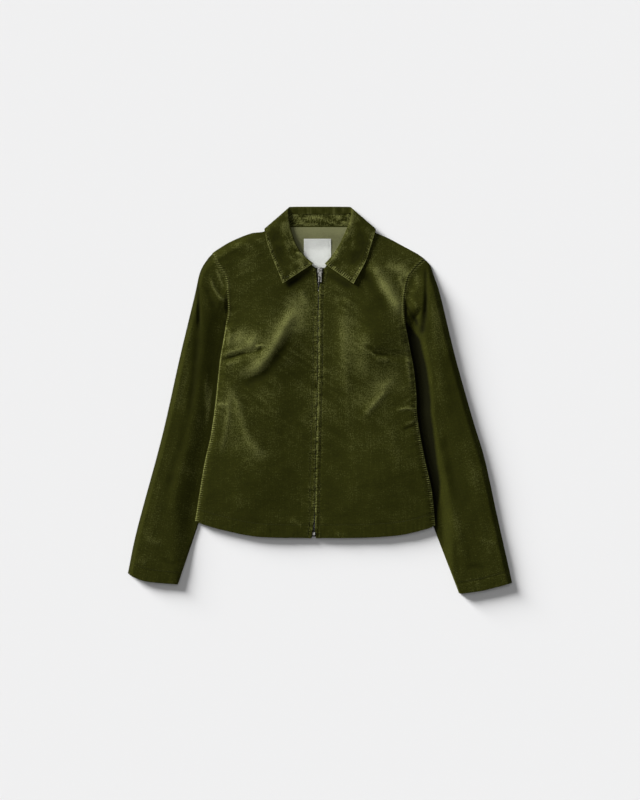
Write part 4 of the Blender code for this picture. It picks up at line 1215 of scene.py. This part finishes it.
# Pile colours: the darkest is also the colour of painted shade, and the lightest also that of painted
# highlights
DARK_PILE_AND_SHADE = (0.0035, 0.0035, 0.0011)
MID_PILE = (0.0255, 0.0272, 0.0034)
LIGHT_PILE_AND_HIGHLIGHT = (0.16, 0.166, 0.052)
PILE_FINISH = {
    "Roughness": 0.9, "Specular IOR Level": 0.02,
    "Sheen Weight": 0.1, "Sheen Roughness": 0.4, "Sheen Tint": (0.75, 0.78, 0.15),
}


def corduroy_material(name, streak, broad, fine, fleck):
    """Ribbed pile. Its tone, which holds painted highlights and shade as well as the pile's own unevenness,
    darkens it below 0 and lightens it above 0.
    """
    material, tree, shader = new_material(name, PILE_FINISH)
    place = cloth_place(tree)
    wales = use_group(tree, "wales", {"Place": place, "Pitch": WALE_PITCH})
    mottle = use_group(tree, "mottle", {"Place": place, "Broad": broad, "Fine": fine, "Fleck": fleck})
    # painted shade on slopes that face the key light, and a painted highlight on those turned away from it
    slope_light = use_group(tree, "slope_light", {"Amount": -0.3})
    streaks = times(tree, minus(tree, wales["Streak"], 0.5), streak)
    ruffles = minus(tree, stretched_noise(tree, place, 3.4, 2.0), 0.48)
    ruffles = times(tree, ruffles, 3.4, stored(tree, "pile_gathered"))
    # painted highlights and shade of a seam's puckers, in stripes across it
    waves = maths(tree, "SINE", times(tree, stored(tree, "seam_run"), 2 * math.pi / PUCKER_LIGHT_PITCH))
    uneven = times(tree, stretched_noise(tree, place, 9, 9, detail=9), 1.7)
    pucker_light = times(tree, waves, uneven, stored(tree, "seam_pucker_light"))
    flecked = maths(tree, "MULTIPLY_ADD", mottle["Flecks"], 2.2, 1.0)
    # the stored tone: painted highlights and shade, and the pile's unevenness
    tone = times(tree, stored(tree, "pile_tone_and_painted_light"), flecked)
    tone = plus(tree, tone, slope_light["Value"], streaks, ruffles, pucker_light, mottle["Value"])
    # tone above 0 mixes towards the painted highlight colour, and below 0 towards the painted shade colour
    light = maths(tree, "MULTIPLY", tone, 1.0, clamp=True)
    dark = maths(tree, "MULTIPLY", tone, -1.0, clamp=True)
    colour = mixed(tree, dark, mixed(tree, light, MID_PILE, LIGHT_PILE_AND_HIGHLIGHT), DARK_PILE_AND_SHADE)
    # painted shade in the grooves between the wales
    groove_shade = times(tree, minus(tree, 1.0, wales["Rib"]), 0.55)
    height = plus(tree, times(tree, wales["Rib"], 0.35), times(tree, mottle["Fuzz"], 0.12))
    surface(tree, shader, mixed(tree, groove_shade, colour, DARK_PILE_AND_SHADE), height, 1.0, 0.8)
    return material


def woven_material(name, colour, dark, pitch, depth, settings):
    material, tree, shader = new_material(name, settings)
    place = cloth_place(tree)
    weave = use_group(tree, "weave", {"Place": place, "Pitch": pitch})
    mottle = use_group(tree, "mottle", {"Place": place, "Broad": 0.6, "Fine": 0.3, "Fleck": 0.3})
    under = maths(tree, "MULTIPLY_ADD", weave["Height"], 0.25, 0.3)
    under = maths(tree, "ADD", under, mottle["Value"], clamp=True)
    surface(tree, shader, mixed(tree, under, colour, dark), weave["Height"], depth)
    return material


def tape_material():
    """Herringbone tape: slanting ribs that turn back every few millimetres."""
    material, tree, shader = new_material("zip_tape_weave", {"Roughness": 0.8, "Specular IOR Level": 0.2})
    across, down, _ = add(tree, "SeparateXYZ", {0: cloth_place(tree)}).outputs
    zigzag = maths(tree, "PINGPONG", across, 1.6)
    rib = maths(tree, "SINE", times(tree, plus(tree, down, zigzag), 5.2))
    share = maths(tree, "MULTIPLY_ADD", rib, 0.3, 0.4)
    # the tape's dark colours stand in as painted shade for the gap between the fronts, where the tape shows
    surface(tree, shader, mixed(tree, share, (0.024, 0.025, 0.008), (0.007, 0.007, 0.003)), rib, 0.12)
    return material


def thread_material(name, dark, light, settings):
    """Twisted thread, which has no cloth_place of its own."""
    material, tree, shader = new_material(name, settings)
    place = add(tree, "TexCoord").outputs["Object"]
    twist = add(tree, "TexWave", {"Vector": place, "Scale": 700.0, "Distortion": 2.0}).outputs["Fac"]
    surface(tree, shader, mixed(tree, twist, dark, light), twist, 0.05)
    return material


def nickel_material():
    """Nickel gone a little dull, browner and rougher in patches."""
    material, tree, shader = new_material("aged_nickel", {"Metallic": 1.0})
    place = add(tree, "TexCoord").outputs["Object"]
    patches = noise_at(tree, place, 420.0, 3.0)
    dull = maths(tree, "MULTIPLY_ADD", patches, 4.0, -1.5, clamp=True)
    colour = mixed(tree, dull, (0.5, 0.495, 0.47), (0.08, 0.077, 0.065))
    fill(tree, shader.inputs["Roughness"], maths(tree, "MULTIPLY_ADD", patches, 0.35, 0.16))
    surface(tree, shader, colour, noise_at(tree, place, 2600.0, 2.0), 0.03)
    return material


# ---------------------------------------------------------------- stage


FLOOR_REACH = 4.0
FLOOR_Z = -0.0004
# Soft parallel lights: name, strength, apparent size, where it comes from anticlockwise from +X, how high
SUNS = [("key", 9.7, 22, 141, 15.5), ("overhead", 0.5, 50, 120, 78)]
SKY_STRENGTH = 0.11


def make_floor():
    mesh = bpy.data.meshes.new("floor")
    corners = [(x * FLOOR_REACH, y * FLOOR_REACH, FLOOR_Z) for x, y in ((-1, -1), (1, -1), (1, 1), (-1, 1))]
    mesh.from_pydata(corners, [], [(0, 1, 2, 3)])
    finish = {"Base Color": (0.8, 0.8, 0.803), "Roughness": 0.95, "Specular IOR Level": 0.0}
    mesh.materials.append(new_material("pale_floor", finish)[0])
    floor = bpy.data.objects.new("floor", mesh)
    bpy.context.scene.collection.objects.link(floor)


def make_lights():
    for name, strength, size, azimuth, elevation in SUNS:
        light = bpy.data.lights.new(name, "SUN")
        light.energy = strength
        light.angle = math.radians(size)
        lamp = bpy.data.objects.new(name, light)
        lamp.rotation_euler = (0, math.radians(90 - elevation), math.radians(azimuth))
        bpy.context.scene.collection.objects.link(lamp)
    world = bpy.data.worlds.new("studio")
    world.use_nodes = True
    sky = world.node_tree.nodes["Background"].inputs
    sky["Color"].default_value = (1, 1, 1, 1)
    sky["Strength"].default_value = SKY_STRENGTH
    bpy.context.scene.world = world


CAMERA_HEIGHT = 6.0
VIEW_HEIGHT = 1.52  # of the floor that the view takes in


def make_camera():
    """Straight above, far enough away that the thickness of the cloth doesn't show as perspective."""
    camera = bpy.data.cameras.new("camera")
    camera.sensor_fit = "VERTICAL"
    camera.sensor_height = 24
    camera.lens = camera.sensor_height * CAMERA_HEIGHT / VIEW_HEIGHT
    holder = bpy.data.objects.new("camera", camera)
    holder.location = (0, 0, CAMERA_HEIGHT)
    bpy.context.scene.collection.objects.link(holder)
    bpy.context.scene.camera = holder
    bpy.context.scene.view_settings.view_transform = "Standard"


# ---------------------------------------------------------------- the jacket

LOOKS = collection_of("corduroy_jacket_looks")
GROUPS = {"wales": wale_group(), "mottle": mottle_group(), "slope_light": painted_slope_light_group(), "weave": weave_group()}
make_floor()
make_lights()
make_camera()

body_cord = corduroy_material("corduroy_body", 0.25, 0.4, 0.42, 1.15)
collar_cord = corduroy_material("corduroy_collar", 0.2, 0.3, 0.6, 1.2)
thread = thread_material(
    "sewing_thread", (0.018, 0.019, 0.004), (0.036, 0.038, 0.009),
    {"Roughness": 0.8, "Specular IOR Level": 0.1},
)
label_thread = thread_material("label_thread", (0.62, 0.63, 0.6), (0.8, 0.81, 0.77), {"Roughness": 0.5})
lining_cloth = woven_material(
    "lining_weave", (0.158, 0.162, 0.07), (0.1, 0.102, 0.042), 0.35, 0.05,
    {"Roughness": 0.75, "Specular IOR Level": 0.25},
)
label_cloth = woven_material(
    "label_satin", (0.65, 0.665, 0.63), (0.53, 0.54, 0.51), 0.4, 0.04,
    {"Roughness": 0.5, "Specular IOR Level": 0.4},
)
nickel = nickel_material()
tape_cloth = tape_material()

back = make_back(body_cord)
fronts, front_rows, sleeves, sleeve_rows, tapes = {}, {}, {}, {}, {}
for side, word in WEARERS_SIDES:
    fronts[word], front_rows[word] = make_front(side, word, body_cord)
    sleeves[word], sleeve_rows[word] = make_sleeve(side, word, body_cord)
    tapes[word] = make_tape(side, word, tape_cloth)
fall, leaf_rows, stations = make_fall(collar_cord)
stand = make_stand(collar_cord, stations)
lining = make_lining(lining_cloth)
label, label_rows = make_label(label_cloth)
teeth = make_teeth(nickel)
for node in ("zip_slider", "zip_pull", "zip_box"):
    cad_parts[node].data.materials.clear()
    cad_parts[node].data.materials.append(nickel)

zip_stitches, hem_stitches, cuff_stitches = {}, {}, {}
for _, word in WEARERS_SIDES:
    rows = front_rows[word]
    along_zip = inset_line(rows, ZIP_TOPSTITCH)[2:-6]
    along_hem = inset_line(rows.transpose(1, 0, 2), HEM_TURNING)[3:-3]
    along_cuff = inset_line(sleeve_rows[word].transpose(1, 0, 2)[:, ::-1], CUFF_TURNING)[4:-4]
    zip_stitches[word] = make_stitches(f"zip_topstitch_{word}", [along_zip], thread, "corduroy")
    hem_stitches[word] = make_stitches(f"hem_stitch_{word}", [along_hem], thread, "corduroy")
    cuff_stitches[word] = make_stitches(f"cuff_stitch_{word}", [along_cuff], thread, "corduroy")
collar_stitches = make_stitches("collar_topstitch", leaf_lines(leaf_rows, stations), thread, "corduroy")
label_stitches = make_stitches(
    "label_stitches", label_lines(label_rows), label_thread, "label", pitch=2.6, stitch=2.0, radius=0.16
)
